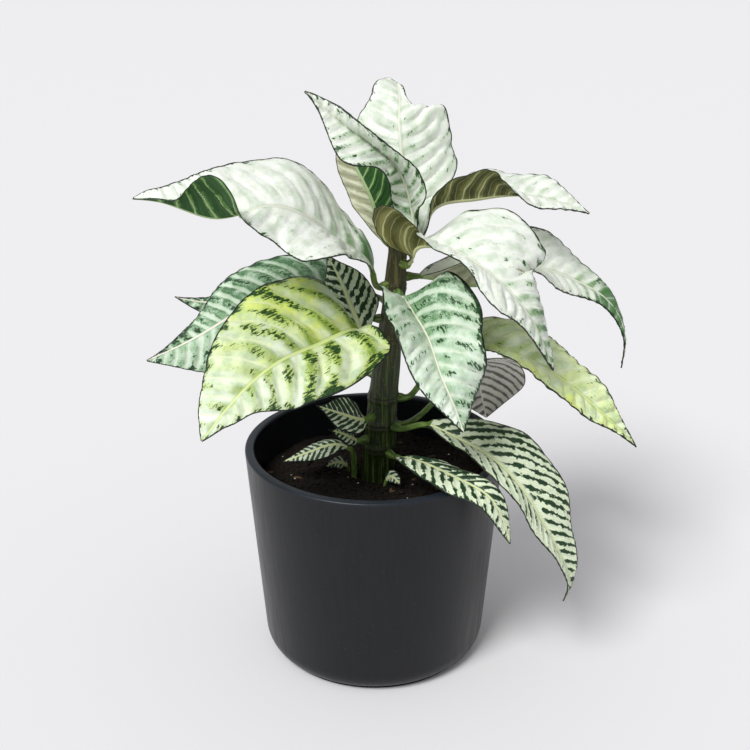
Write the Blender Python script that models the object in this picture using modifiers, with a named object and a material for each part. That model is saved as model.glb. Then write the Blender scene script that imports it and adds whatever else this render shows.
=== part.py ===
"""Potted zebra plant: a dark tapered pot, its soil, one stem and 23 leaves, each leaf with its own stalk."""
import math

import bmesh
import bpy
import numpy as np
from mathutils import Vector, noise

MM = 0.001

# Pot, mm
POT_RIM_RADIUS = 70.0
POT_BASE_RADIUS = 61.0
POT_HEIGHT = 119.0
POT_CORNER = 12.0
POT_WALL = 5.0
POT_FLOOR = 7.0
LIP_ROUND = 2.2
TURN_STEPS = 40

# Soil, mm
SOIL_LEVEL = 99.0
SOIL_EDGE_DROP = 2.0
SOIL_BUMP = 1.3
CLEARANCE = 0.35
SEAT_GAP = 0.5

# Stem: where its axis runs and how thick it is, mm
STEM_AXIS = [(2, 0, 78), (2, 0, 99), (3, 0, 120), (6, 0, 160), (10, 0, 200), (12, 0, 225), (13, 1, 240)]
STEM_RADIUS = [8.0, 9.0, 8.6, 7.2, 5.6, 4.8, 3.6]
STEM_NODES = (117, 131, 147, 180, 208, 230)
NODE_SWELL = 0.8

# Leaves, mm
BLADE_THICK = 0.7
RIB_DEPTH = 1.1
STALK_RADIUS = 1.6
TIP_HALF_WIDTH = 0.4
ACROSS_LARGE = (-1, -0.6, -0.1, 0, 0.1, 0.6, 1)
ACROSS_SMALL = (-1, -0.5, 0, 0.5, 1)

# A leaf starts at seat, its height and compass bearing on the stem (0 towards the viewer, 90 to the right),
# or at root, a point in the soil. route is where its midrib runs, to the tip. stalk is the length before the
# blade. face gives the bearing and elevation that the upper side looks to, at even steps along the blade.
# left and right are the half widths at even steps, seen from above with the tip ahead. lift is how far each
# half is raised from flat, in degrees, and back how far its edge lies back towards the base.
LEAVES = {
    "leaf_left_high": dict(
        seat=(209, -60), stalk=15,
        route=[(-1, -9, 219), (-17, -18, 237), (-35, -28, 253), (-51, -34, 258), (-61, -38, 256), (-74,
               -40, 254), (-86, -40, 257), (-98, -39, 261), (-114, -36, 262)],
        face=[(30, 50), (10, 62), (0, 55), (0, 50)],
        left=[3, 6, 10, 13.5, 17, 21, 25.1, 29.2, 32.5, 34.2, 33.9, 30.3, 24.5, 20.8, 16.7, 22, 25.6,
              29.2, 30.1, 25.6, 16.6, 8.7, 6.1, 5.3, 0],
        lift_left=[39.7, 37.8, 35.9, 35.1, 34.2, 34.5, 34.8, 29.2, 21.7, 15.1, 10.2, 8.1, 7.1, 21.3, 37,
                   57.5, 77.4, 93.2, 100.7, 103, 100, 85, 75, 65, 60],
        back_left=[0, 0, 0, -0.1, -0.1, -0.1, 0, 0.3, 0.8, 1.5, 2.2, 0.3, -1.8, -6.1, -4, 1.7, 6.9, 5.3,
                   1.4, 1.5, 3.8, 6.4, 4.6, 3.4, 1.8],
        right=[3, 17, 27, 26.5, 30, 29.5, 31, 31.5, 32.1, 32.1, 32.2, 31.2, 29.3, 28.2, 27.8, 27, 25.8,
               23.5, 20.2, 16.4, 13.3, 9.4, 6.6, 4.3, 0],
        lift_right=[-10, -9.3, -8.1, -6.2, -3, 1.3, 6, 10.7, 14.7, 17.5, 18.6, 17.6, 15.9, 15.9, 18.2,
                    23.8, 28.7, 26.6, 17, 9.6, 4.7, 8.1, 13.9, 19.8, 24.8],
        back_right=[0, 3, 5.8, 7.9, 9, 9, 8.1, 6.6, 4.7, 2.8, 1.3, 0.5, 1.1, 3.8, 3.4, 0.3, -3.1, -7.2,
                    -9, -7.7, -5.5, -2.7, -0.4, 0.6, 1.3],
        curl=-20, wave=(1.2, 3, 0.2)),
    "leaf_crown_left": dict(
        seat=(234, 40), stalk=10, route=[(18, -6, 254), (8, -12, 275), (-14, -18, 293), (-33, -18, 309)],
        face=[(-30, 10), (-10, 30), (0, 30)],
        left=[3.8, 6.1, 8.2, 9.8, 10.3, 9.5, 8.6, 8.1, 8.4, 9.2, 10, 10, 11.5, 14.1, 17, 18.5, 18.3, 16.1,
              12.9, 9.5, 6.5, 3.9, 2, 0.7, 0],
        lift_left=[35, 26.2, 18.5, 12.7, 9.9, 10.7, 16.9, 26.7, 37.1, 44.7, 48.4, 50, 49.7, 48.4, 44.5,
                   39.7, 35.5, 34.1, 33.5, 32.4, 31, 30.1, 29.6, 29.6, 29.9],
        back_left=[0, 0, 0, 0, 0, 0.2, 0.4, 0.7, 0.8, 0.8, 0.9, 1.1, 0.2, -0.4, -0.4, -0.3, -0.2, 0, 0.3,
                   0.4, 0.4, 0.4, 0.3, 0.2, 0],
        right=[2.7, 5.5, 8.4, 11.4, 14.7, 17.3, 19.2, 19.9, 19.5, 18.1, 15.8, 12.8, 10.6, 10.4, 11.4,
               11.6, 10.5, 8.9, 7.5, 6.6, 5.6, 4.4, 3.2, 2, 0],
        lift_right=[50.4, 56, 61, 63.7, 61.8, 62.7, 64.6, 68.7, 74.5, 80.4, 85.5, 88.6, 88.6, 89.7, 91.2,
                    90.3, 87, 80.5, 70.8, 59.3, 47.6, 35.9, 24.1, 12.1, -0.1],
        back_right=[-0.1, -0.2, -0.2, 0, 1.2, 1.4, 1.2, 0.6, 0.2, 0, 0.3, 0.5, 0.3, -0.1, -0.3, -0.2,
                    -0.1, -0.1, 0, 0, 0.2, 0.2, 0.2, 0, 0],
        wave=(0.8, 3, 0.5)),
    "leaf_crown_far_left": dict(
        seat=(229, -140), stalk=7, route=[(0, 13, 246), (-9, 20, 265), (-16, 24, 286)],
        face=[(180, 10), (180, 20), (180, 20)],
        left=[2.5, 4.8, 6.7, 8, 8.5, 8.6, 9.9, 11.4, 12.7, 13.5, 13.7, 13.6, 13.3, 12.9, 12.4, 11.9, 11.3,
              10.7, 9.9, 9.1, 7.8, 6.1, 4.1, 2.1, 0],
        lift_left=[5, 5, 5, 4.8, 4.4, 3.8, 3.7, 3.7, 3.8, 3.8, 3.7, 3.6, 3.6, 3.7, 3.9, 4.2, 4.3, 4.5,
                   4.7, 5, 5, 5, 5, 5, 5],
        back_left=[0, 0, 0, -0.2, -0.5, -0.9, -0.8, -0.5, -0.3, -0.1, 0, 0.1, 0.1, 0.1, 0.1, 0.1, 0.1,
                   0.1, 0.1, 0, 0, 0, 0, 0, 0],
        right=[2, 9, 14, 13, 9, 0], lift_right=35, wave=(0.6, 2, 0)),
    "leaf_crown_back": dict(
        seat=(236, 178), stalk=8, route=[(14, 31, 270), (13, 41, 287), (13, 53, 297), (9, 66, 303)],
        face=[(0, 20), (-10, 35), (0, 60)],
        left=[2, 4.4, 7, 9.7, 12, 13.6, 15, 16.5, 17.9, 18.9, 20, 21.5, 22.9, 23.6, 24, 23.7, 22.8, 20.7,
              18.5, 16.6, 14.9, 13.7, 11.4, 6.8, 0],
        lift_left=[50, 51.1, 51.4, 49.9, 45.8, 38.1, 26.9, 13.8, 0.7, -10.4, -17.4, -19.4, -17.1, -11.5,
                   -4.5, 0.3, 4, 6.6, 10, 14.1, 18.3, 23.5, 29.3, 34.1, 37.9],
        back_left=[0, 0, 0, 0, 0, 0, 0, 0, 0, 0, 0, 0, 0.1, 0.1, 0.2, 0.1, 0.1, 0, -0.2, -0.4, -0.7, -1.2,
                   -1.6, -1.4, -0.7],
        right=[3, 5.8, 9, 12.8, 17, 21.2, 25, 27.9, 30, 31.4, 32.1, 31.9, 31.2, 30.1, 28.7, 26.4, 23.4,
               16.8, 10, 6.1, 3.7, 3.7, 3.6, 2.2, 0],
        lift_right=[10, 8.3, 6.5, 4.5, 2.2, -0.5, -3.6, -7, -10.6, -14.2, -17.7, -20.4, -21.2, -17.9,
                    -11.5, -3.5, 10.9, 9.7, 0.4, -1.6, -1.7, -0.5, 0.1, -1.8, -4.5],
        back_right=[0, 0, 0, 0, 0, -0.1, -0.1, -0.1, -0.1, 0.1, 0.5, 1.2, 1.8, 1.6, 0.1, -3.1, -5.1, -1.4,
                    2.3, 3, 2.1, 1.6, 1.4, 1.4, 0.8],
        wave=(1.0, 3, 0.3)),
    "leaf_crown_right": dict(
        seat=(231, 100), stalk=6,
        route=[(29, 10, 244), (49, 16, 249), (66, 21, 250), (88, 24, 248), (112, 18, 241)],
        face=[(0, 60), (0, 60), (0, 50), (10, 40)],
        left=[3, 4.4, 5.8, 7.4, 9, 10.8, 12.7, 14.8, 17, 19.4, 21.6, 23.6, 25, 25.9, 25.8, 24.8, 23.3,
              21.4, 19.1, 15.8, 12.1, 8.6, 5.3, 2.4, 0],
        lift_left=[10, 7.4, 4.9, 2.8, 1, -0.2, -0.8, -0.8, -0.3, 0.4, 1.1, 1.4, 0.3, -0.5, -5.5, -11.1,
                   -12.9, -10.4, -4.7, -2.9, -2.9, -3.3, -3, -2.2, -0.8],
        back_left=[0, 0, 0, 0, 0, 0, 0, 0, 0, 0, 0, 0, 0.1, 0.2, 0.2, 0.1, 0, 0, 0, 0, 0.1, 0.2, 0.3, 0.3,
                   0.2],
        right=[4.2, 5.9, 7.6, 8.9, 9.9, 10.5, 11, 12.6, 14.3, 16, 17.4, 18.8, 19.3, 18.3, 16.7, 15.6,
               14.6, 13.8, 12.6, 10.8, 8.6, 6.4, 4.1, 2, 0],
        lift_right=[71, 77.5, 83.5, 88.4, 91.8, 93.9, 96.2, 101.5, 106.6, 109, 110.2, 110.2, 107.8, 97.3,
                    84.3, 69.1, 56.1, 47.1, 42.6, 43.5, 46.2, 46.1, 45.1, 43.2, 41.2],
        back_right=[-0.3, -0.3, -0.1, 0.2, 1.2, 2.8, 4.8, 6, 7.1, 6.6, 6.5, 6.5, 7.6, 8.3, 9.3, 8, 6.6,
                    4.4, 2.5, 0.2, -1.3, -1.4, -0.9, -0.4, 0.1],
        wave=(0.8, 3, 0.1)),
    "leaf_right_high": dict(
        seat=(221, 35), stalk=5,
        route=[(20, -10, 229), (29, -17, 234), (46, -34, 232), (61, -48, 223), (74, -58, 209), (84, -62,
               186)],
        face=[(20, 70), (20, 60), (30, 50), (50, 30)],
        left=[3.1, 5, 8.8, 14.4, 19.9, 25.8, 29.8, 33.3, 36.1, 36.9, 36.7, 37.3, 38.3, 38.6, 32, 21.5,
              19.9, 18.7, 17.8, 16.3, 14.2, 11.7, 7.8, 4.8, 0],
        lift_left=[-10.4, -3.5, 3.5, 10.7, 18.3, 26.5, 27, 29.8, 30, 26.5, 22.8, 15.6, 8.7, 3.6, -3.9,
                   6.3, 5.5, 2.9, -1.4, -6, -9.3, -11.4, -8.9, -1.5, 4.8],
        back_left=[-0.3, 0, 0.4, 1, 1.7, 2.1, 1.4, 0.5, -0.8, -2, -2.6, -2.4, -1.6, 0, 2.6, 3.6, 4.2, 4.6,
                   4.6, 4.2, 3.4, 2.8, 0.9, -0.6, -1.5],
        right=[2, 18.2, 32.1, 29.9, 24.5, 19.8, 16.6, 13.5, 11.9, 12.5, 14.3, 16.5, 19.2, 21.8, 23.1,
               23.1, 21.2, 17.6, 13.9, 11, 8, 5.7, 3.5, 1.7, 0],
        lift_right=[75, 88, 84, 67.3, 59.8, 53.6, 46.3, 39.9, 37.2, 36.1, 35.3, 34.9, 34, 36.5, 38, 37.3,
                    35.6, 31.9, 28.6, 26.2, 24.4, 22.5, 19.5, 14.7, 9.3],
        back_right=[-1, -5, -9, -6.4, -2.9, -2.1, -2.8, -4.3, -5, -6.2, -7.4, -7.8, -7.3, -6.1, -5.6,
                    -5.4, -4, -1.7, 0, 0.3, -0.1, -0.6, -1, -0.8, -0.5],
        wave=(1.2, 3, 0.6)),
    "leaf_right_back": dict(
        seat=(213, 95), stalk=8,
        route=[(34, 8, 209), (54, 14, 204), (83, 22, 210), (108, 28, 202), (127, 28, 190), (136, 22, 173),
               (134, 16, 155)],
        face=[(10, 70), (10, 60), (20, 55), (60, 20), (80, 0)], left=[3, 18, 26, 24, 22, 14, 8, 4, 0],
        lift_left=[10, 20, 42, 38, 18, 8, 0, 0], right=[3, 21, 24, 20, 16, 11, 6, 3, 0],
        lift_right=[60, 98, 95, 45, 20, 12, -5, -10], wave=(0.9, 3, 0)),
    "leaf_front": dict(
        seat=(206, 15), stalk=4,
        route=[(19, -22, 201), (27, -46, 193), (32, -62, 182), (38, -70, 170), (42, -74, 159)],
        face=[(0, 80), (0, 60), (10, 40), (20, 20)], left=[3, 24, 30, 30, 26, 22, 12, 0],
        lift_left=[0, 52, 38, 43, 38, 0, 0], back_left=[0, 6, 2, 0, 0, 0, 0],
        right=[3, 18, 23, 25, 26, 25, 23, 20, 16, 12, 8, 4, 0], lift_right=[35, 60, 55, 50, 35, 12, 0],
        back_right=[0, 8, 6, 3, 0, 0, 0, 0, 0, 0, 0, 0, 0], wave=(1.1, 3, 0.4)),
    "leaf_left_front": dict(
        seat=(180, -35), stalk=21,
        route=[(-6, -22, 191), (-26, -44, 193), (-44, -62, 191), (-62, -76, 180), (-80, -84, 159)],
        face=[(0, 70), (-10, 55), (-20, 40), (-20, 30)],
        left=[3, 6.5, 12, 15.5, 19, 22, 24, 25.5, 26, 26, 26, 26, 25.5, 24.5, 23, 20.5, 18, 15.5, 12.5,
              10, 8, 5.5, 3.5, 2, 0],
        lift_left=[60, 57, 45, 25, 10, 3, -2, -4, -5, -5, -7, -10, -14, -16, -18, -18, -17, -16, -14, -12,
                   -9, -6, -4, -2, 0],
        back_left=[0, 2, 6, 12, 17.5, 19, 17.5, 14, 10, 7, 4.5, 2.2, 0.8, 0, 0, 0, 0, 0, 0, 0, 0, 0, 0, 0,
                   0],
        right=[3, 27, 33, 37, 38, 36.5, 35, 31, 26, 21.5, 16, 9, 0],
        lift_right=[10, 34, 39, 35, 32, 20, 22], back_right=[0, 9, 8, 4, 1, 0, 0, 0, 0, 0, 0, 0, 0],
        wave=(1.4, 4, 0.2)),
    "leaf_left_middle": dict(
        seat=(190, -95), stalk=14,
        route=[(-18, 4, 196), (-44, 12, 201), (-71, 14, 190), (-94, 12, 176), (-122, 6, 164)],
        face=[(0, 70), (-10, 55), (-10, 42), (-10, 40)], left=[4, 22, 29, 30, 29, 25, 13, 0],
        lift_left=[-20, -30, -28, -22, -14, -10, -6], right=[5, 22, 28, 28, 22, 12, 4, 0],
        lift_right=[50, 25, 3, 5, 4, 15, 18], wave=(1.0, 4, 0.5)),
    "leaf_left_back": dict(
        seat=(198, -145), stalk=16,
        route=[(-24, 28, 201), (-60, 42, 195), (-90, 48, 183), (-112, 46, 187)],
        face=[(0, 80), (0, 60), (0, 40)], left=[4, 14, 20, 20, 17, 12, 6, 0], lift_left=-10,
        right=[4, 12, 16, 16, 12, 7, 3, 0], wave=(0.9, 3, 0.1)),
    "leaf_left_inner": dict(
        seat=(179, -62), stalk=6, route=[(-7, -7, 187), (-13, 0, 200), (-19, 7, 212), (-25, 12, 222)],
        face=[(0, 30), (-20, 30)], left=[2, 11, 15, 16, 13, 9, 4, 0], right=[2, 7, 13, 16, 14, 10, 4, 0],
        lift_right=[0, -5, -10, -15, 0, 10, 10], wave=(0.6, 2, 0)),
    "leaf_right_middle": dict(
        seat=(146, 85), stalk=26,
        route=[(24, -2, 154), (39, -10, 170), (56, -16, 179), (74, -22, 178), (94, -28, 168), (114, -32,
               152), (135, -32, 131)],
        face=[(10, 60), (20, 50), (30, 40)], left=[5, 20, 24, 24, 20, 14, 6, 0],
        lift_left=[0, 0, 5, -3, 8, 28, 40], right=[4, 13, 18, 18, 14, 10, 4, 0],
        lift_right=[60, 75, 58, 43, 22, 10, 5], wave=(1.0, 4, 0.3)),
    "leaf_right_inner": dict(
        seat=(128, 110), stalk=36,
        route=[(31, 16, 134), (47, 30, 147), (54, 43, 147), (61, 56, 131), (67, 63, 105)],
        face=[(180, 70), (170, 40), (160, 10)], left=[5, 22, 28, 28, 26, 14, 0],
        lift_left=[30, 10, 0, 0, 0, 0], right=[5, 22, 28, 28, 27, 14, 0],
        lift_right=[30, 26, 12, 13, 5, 0], wave=(0.9, 3, 0.5)),
    "leaf_right_low": dict(
        seat=(131, 50), stalk=22,
        route=[(25, -14, 136), (37, -22, 135), (52, -32, 131), (66, -42, 124), (81, -50, 106), (94, -54,
               83), (101, -52, 64), (99, -50, 50)],
        face=[(30, 60), (40, 55), (50, 45), (60, 20)], left=[5, 18, 24, 26, 26, 20, 12, 5, 0],
        lift_left=[20, 18, 22, 22, 26, 36, 40, 20], right=[4, 12, 16, 17, 16, 12, 7, 3, 0],
        lift_right=[45, 40, 36, 34, 28, 20, 15, 18], wave=(0.9, 4, 0)),
    "leaf_right_small": dict(
        seat=(116, 35), stalk=10,
        route=[(14, -18, 119), (29, -36, 123), (45, -56, 124), (57, -66, 120), (63, -70, 110), (67, -71,
               97)],
        face=[(0, 60), (0, 55), (10, 30), (20, 10)], left=[3, 9, 11, 10, 9, 6, 0], lift_left=-20,
        right=[3, 10, 12, 12, 10, 6, 0], lift_right=[40, 38, 30, 38, 38, 10], wave=(0.6, 4, 0.2)),
    "leaf_back_low": dict(
        seat=(150, -165), stalk=12,
        route=[(-6, 25, 152), (-16, 45, 147), (-26, 66, 133), (-32, 82, 112)],
        face=[(180, 80), (-170, 60), (-165, 30)], left=[3, 14, 19, 18, 12, 0],
        right=[3, 14, 19, 18, 12, 0], wave=(0.8, 3, 0)),
    "leaf_back_right": dict(
        seat=(174, 155), stalk=12, route=[(24, 26, 178), (36, 46, 176), (46, 66, 164), (52, 82, 144)],
        face=[(170, 80), (160, 60), (150, 30)], left=[3, 14, 18, 17, 11, 0],
        right=[3, 14, 18, 17, 11, 0], wave=(0.8, 3, 0.4)),
    "leaf_small_left": dict(
        seat=(137, -40), stalk=6, route=[(-13, -17, 142), (-30, -23, 151)], face=[(0, 50), (0, 50)],
        left=[3, 8, 9, 9, 8, 5, 2, 0], lift_left=5, right=[3, 8, 9, 10, 9, 6, 2, 0], lift_right=25,
        small=True),
    "leaf_small_low": dict(
        seat=(123, -60), stalk=6, route=[(-14, -13, 129), (-24, -18, 135)], face=[(0, 50), (0, 40)],
        left=[2, 4, 5, 5, 4, 3, 1, 0], right=[2, 4, 5, 5, 4, 3, 1, 0], small=True),
    "leaf_soil_left": dict(
        root=(-11, -1, 94), stalk=26,
        route=[(-11, -2, 108), (-13, -4, 117), (-18, -5, 120), (-33, -6, 117), (-50, -6, 110)],
        face=[(0, 70), (0, 60)], left=[2, 5, 7, 7, 6, 4, 2, 0], lift_left=0,
        right=[3, 7, 9, 9, 8, 5, 2, 0], lift_right=-15, small=True),
    "sprout_left": dict(
        root=(-14, 4, 95), stalk=8, route=[(-14, 4, 101), (-19, 2, 106), (-27, 0, 104)],
        face=[(0, 40), (0, 30)], left=[1, 3, 4, 3, 2, 0], right=[1, 3, 4, 3, 2, 0],
        stalk_radius=0.9, small=True),
    "sprout_front": dict(
        root=(6, -13, 95), stalk=8, route=[(6, -13, 101), (9, -15, 106), (14, -19, 103)],
        face=[(0, 50), (0, 30)], left=[1, 3, 4, 3, 2, 0], right=[1, 3, 4, 3, 2, 0],
        stalk_radius=0.9, small=True),
}
STATIONS_LARGE = 16
STATIONS_SMALL = 9
STALK_STATIONS = 4


def clear_scene():
    for item in list(bpy.data.objects):
        bpy.data.objects.remove(item, do_unlink=True)


def collection(name):
    made = bpy.data.collections.new(name)
    bpy.context.scene.collection.children.link(made)
    return made


def linear(code):
    """An sRGB hex colour as linear values."""
    parts = [int(code[i:i + 2], 16) / 255 for i in (1, 3, 5)]
    return [p / 12.92 if p <= 0.04045 else ((p + 0.055) / 1.055) ** 2.4 for p in parts] + [1.0]


def material(name, colour, roughness):
    made = bpy.data.materials.new(name)
    made.use_nodes = True
    shader = made.node_tree.nodes["Principled BSDF"]
    shader.inputs["Base Color"].default_value = linear(colour)
    shader.inputs["Roughness"].default_value = roughness
    shader.inputs["Metallic"].default_value = 0.0
    return made


def mesh_object(name, points, faces, home, finish):
    """An object of these points, in mm, with its normals checked and its smooth faces shaded smooth."""
    made = bpy.data.meshes.new(name)
    made.from_pydata([Vector(p) * MM for p in points], [], faces)
    shape = bmesh.new()
    shape.from_mesh(made)
    bmesh.ops.recalc_face_normals(shape, faces=shape.faces)
    shape.to_mesh(made)
    shape.free()
    made.shade_smooth()
    made.set_sharp_from_angle(angle=math.radians(50))
    made.materials.append(finish)
    item = bpy.data.objects.new(name, made)
    home.objects.link(item)
    return item


def turned(name, profile, home, finish):
    """A profile of (radius, height) points in mm, turned about the Z axis."""
    made = bpy.data.meshes.new(name)
    edges = [(i, i + 1) for i in range(len(profile) - 1)]
    made.from_pydata([(r * MM, 0, z * MM) for r, z in profile], edges, [])
    made.materials.append(finish)
    item = bpy.data.objects.new(name, made)
    home.objects.link(item)
    screw = item.modifiers.new("Turn", "SCREW")
    screw.axis = "Z"
    screw.steps = screw.render_steps = TURN_STEPS
    screw.use_merge_vertices = True
    screw.merge_threshold = 0.00005
    screw.use_smooth_shade = True
    return item


def wall_radius(z):
    """The pot's outer radius at this height, mm."""
    return POT_BASE_RADIUS + (POT_RIM_RADIUS - POT_BASE_RADIUS) * z / POT_HEIGHT


def pot(home):
    """Down the outer wall from the middle of the lip, across the base, and up the inside."""
    inner = POT_RIM_RADIUS - POT_WALL
    lip = [(POT_RIM_RADIUS - LIP_ROUND + LIP_ROUND * math.sin(a),
            POT_HEIGHT - LIP_ROUND + LIP_ROUND * math.cos(a)) for a in np.radians((10, 35, 60, 85))]
    low = wall_radius(POT_CORNER)
    corner = [(low - POT_CORNER + POT_CORNER * math.cos(a), POT_CORNER - POT_CORNER * math.sin(a))
              for a in np.radians((0, 20, 40, 60, 80, 90))]
    inner_low = wall_radius(POT_FLOOR) - POT_WALL
    inside = [(0.0, POT_FLOOR), (inner_low - 8, POT_FLOOR), (inner_low - 2, POT_FLOOR + 2.5),
              (inner_low, POT_FLOOR + 9), (inner, POT_HEIGHT - 1.5), (inner + 0.8, POT_HEIGHT - 0.3)]
    return turned("pot", lip + corner + [(0.0, 0.0)] + inside + [lip[0]], home,
                  material("glazed_stoneware", "#2b2f35", 0.38))


def soil(home, cutters):
    """A plug that fills the pot, with a low uneven top and a plain hole for each stem and stalk."""
    top_radius = wall_radius(SOIL_LEVEL) - POT_WALL - CLEARANCE
    floor = POT_FLOOR + CLEARANCE
    low = wall_radius(POT_FLOOR) - POT_WALL - CLEARANCE
    rings = [(0.0, SOIL_LEVEL), (10.0, SOIL_LEVEL), (20.0, SOIL_LEVEL), (32.0, SOIL_LEVEL - 0.3),
             (44.0, SOIL_LEVEL - 0.8), (55.0, SOIL_LEVEL - 1.3), (top_radius, SOIL_LEVEL - SOIL_EDGE_DROP),
             (low - 0.2, floor + 9), (low - 2.3, floor + 2.5), (low - 8.3, floor), (0.0, floor)]
    item = turned("soil", rings, home, material("potting_soil", "#1c1613", 0.95))
    baked = bpy.data.meshes.new_from_object(item.evaluated_get(bpy.context.evaluated_depsgraph_get()))
    item.modifiers.clear()
    item.data = baked
    for point in baked.vertices:
        reach = math.hypot(point.co.x, point.co.y) / MM
        if point.co.z > (SOIL_LEVEL - 5) * MM and reach < top_radius - 1:
            point.co.z += noise.noise(point.co * 90) * SOIL_BUMP * MM
    holes = [(STEM_AXIS[0], STEM_RADIUS[1], 34)]
    for leaf in LEAVES.values():
        if "root" in leaf:
            holes.append((leaf["root"], leaf.get("stalk_radius", STALK_RADIUS), 16))
    for k, ((x, y, z), radius, sides) in enumerate(holes):
        wide = (radius + CLEARANCE + 0.1) * MM
        shape = bmesh.new()
        depth = SOIL_LEVEL + 10 - (z - CLEARANCE)
        bmesh.ops.create_cone(shape, cap_ends=True, segments=sides, radius1=wide, radius2=wide,
                              depth=depth * MM)
        bmesh.ops.translate(shape, verts=shape.verts, vec=Vector((x, y, z - CLEARANCE + depth / 2)) * MM)
        made = bpy.data.meshes.new("hole")
        shape.to_mesh(made)
        shape.free()
        cutter = bpy.data.objects.new(f"hole_{k}", made)
        cutters.objects.link(cutter)
        cutter.hide_render = True
        cutter.display_type = "WIRE"
        cut = item.modifiers.new(f"Hole {k}", "BOOLEAN")
        cut.operation = "DIFFERENCE"
        cut.object = cutter
    return item


def spline(knots, values, at):
    """The natural cubic through the values at the knots, read at each of at."""
    knots = np.asarray(knots, float)
    values = np.asarray(values, float).reshape(len(knots), -1)
    step = np.diff(knots)
    count = len(knots)
    system = np.eye(count)
    target = np.zeros_like(values)
    for i in range(1, count - 1):
        system[i, i - 1:i + 2] = step[i - 1], 2 * (step[i - 1] + step[i]), step[i]
        target[i] = 6 * ((values[i + 1] - values[i]) / step[i] - (values[i] - values[i - 1]) / step[i - 1])
    bend = np.linalg.solve(system, target)
    i = np.clip(np.searchsorted(knots, at, side="right") - 1, 0, count - 2)
    a = ((knots[i + 1] - at) / step[i])[:, None]
    b = 1 - a
    return (a * values[i] + b * values[i + 1]
            + ((a ** 3 - a) * bend[i] + (b ** 3 - b) * bend[i + 1]) * (step[i] ** 2)[:, None] / 6)


def along(values, s):
    """One number, or a list of values at even steps from 0 to 1, read smoothly at s."""
    if np.ndim(values) == 0:
        return np.full(len(s), float(values))
    return spline(np.linspace(0, 1, len(values)), values, s)[:, 0]


def bearing(azimuth, elevation):
    """The unit vector that looks this way, in degrees."""
    azimuth, elevation = np.radians(azimuth), np.radians(elevation)
    return np.stack([np.sin(azimuth) * np.cos(elevation), -np.cos(azimuth) * np.cos(elevation),
                     np.sin(elevation) + 0 * azimuth], -1)


def stem_at(z):
    """The stem's axis point and radius at this height, mm."""
    heights = [p[2] for p in STEM_AXIS]
    axis = spline(heights, STEM_AXIS, np.array([float(z)]))[0]
    radius = spline(heights, STEM_RADIUS, np.array([float(z)]))[0, 0]
    swell = sum(math.exp(-((z - node) / 2.5) ** 2) for node in STEM_NODES)
    return axis, radius + NODE_SWELL * swell


def stem(home):
    """A tube of changing radius along the axis, a little swollen where leaves leave it."""
    bottom, top = STEM_AXIS[0][2], STEM_AXIS[-1][2]
    heights = np.linspace(bottom + CLEARANCE, top, 34)
    curve = bpy.data.curves.new("stem", "CURVE")
    curve.dimensions = "3D"
    curve.bevel_depth = MM
    curve.bevel_resolution = 4
    curve.use_fill_caps = True
    line = curve.splines.new("POLY")
    line.points.add(len(heights))
    for point, z in zip(line.points, heights):
        axis, radius = stem_at(z)
        point.co = (*(Vector(axis) * MM), 1)
        point.radius = radius
    axis, radius = stem_at(top)
    line.points[-1].co = (*(Vector(axis + (0, 0, 1.6)) * MM), 1)
    line.points[-1].radius = radius * 0.45
    curve.materials.append(material("green_stem", "#4c5a24", 0.5))
    item = bpy.data.objects.new("stem", curve)
    home.objects.link(item)
    return item


def midrib(leaf):
    """Fine points from where the leaf starts to its tip, and how far along it each one is."""
    if "seat" in leaf:
        height, azimuth = leaf["seat"]
        axis, radius = stem_at(height)
        out = bearing(azimuth, 0)
        start = [axis + out * (radius + SEAT_GAP), axis + out * (radius + SEAT_GAP + 3.0)]
    else:
        start = [np.array(leaf["root"], float)]
    route = np.array(start + [np.array(p, float) for p in leaf["route"]])
    chord = np.concatenate([[0], np.cumsum(np.linalg.norm(np.diff(route, axis=0), axis=1))])
    fine = spline(chord, route, np.linspace(0, chord[-1], 400))
    run = np.concatenate([[0], np.cumsum(np.linalg.norm(np.diff(fine, axis=0), axis=1))])
    return fine, run


def frame_at(leaf, fine, run, at):
    """Midrib points at these distances, with the directions ahead, to the right and up from the blade."""
    slope = np.gradient(fine, run, axis=0)
    middle = np.stack([np.interp(at, run, fine[:, k]) for k in range(3)], -1)
    ahead = np.stack([np.interp(at, run, slope[:, k]) for k in range(3)], -1)
    ahead /= np.linalg.norm(ahead, axis=1)[:, None]
    s = np.clip((at - leaf["stalk"]) / (run[-1] - leaf["stalk"]), 0, 1)
    looks = bearing(*np.array(leaf["face"], float).T)
    face = spline(np.linspace(0, 1, len(looks)), looks, s)
    up = face - (face * ahead).sum(1)[:, None] * ahead
    up /= np.linalg.norm(up, axis=1)[:, None]
    return middle, ahead, np.cross(ahead, up), up, s


def blade(leaf, fine, run, s, across):
    """The middle surface of the blade: a row of points for each s along it, one for each share across."""
    at = leaf["stalk"] + s * (run[-1] - leaf["stalk"])
    middle, ahead, side, up, _ = frame_at(leaf, fine, run, at)
    height, waves, start = leaf.get("wave", (0, 0, 0))
    fade = np.clip(4 * s, 0, 1) * np.clip(4 * (1 - s), 0, 1)
    rows = np.empty((len(s), len(across), 3))
    for j, share in enumerate(across):
        half, sign, k = ("right", 1, share) if share > 0 else ("left", -1, -share)
        wide = np.maximum(along(leaf[half], s), TIP_HALF_WIDTH)
        lift = np.radians(along(leaf.get("lift_" + half, 8), s))
        curl = math.radians(leaf.get("curl", -25))
        back = along(leaf.get("back_" + half, 0), s)
        out = (np.sin(lift + curl * k) - np.sin(lift)) / curl
        rise = (np.cos(lift) - np.cos(lift + curl * k)) / curl
        turn = 2 * np.pi * (waves * s + start + (0.37 if sign > 0 else 0))
        rise = rise + height * k ** 2 * np.sin(turn) * fade / wide
        rows[:, j] = (middle + side * (sign * wide * out)[:, None] + up * (wide * rise)[:, None]
                      - ahead * (back * k)[:, None])
    return rows


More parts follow.
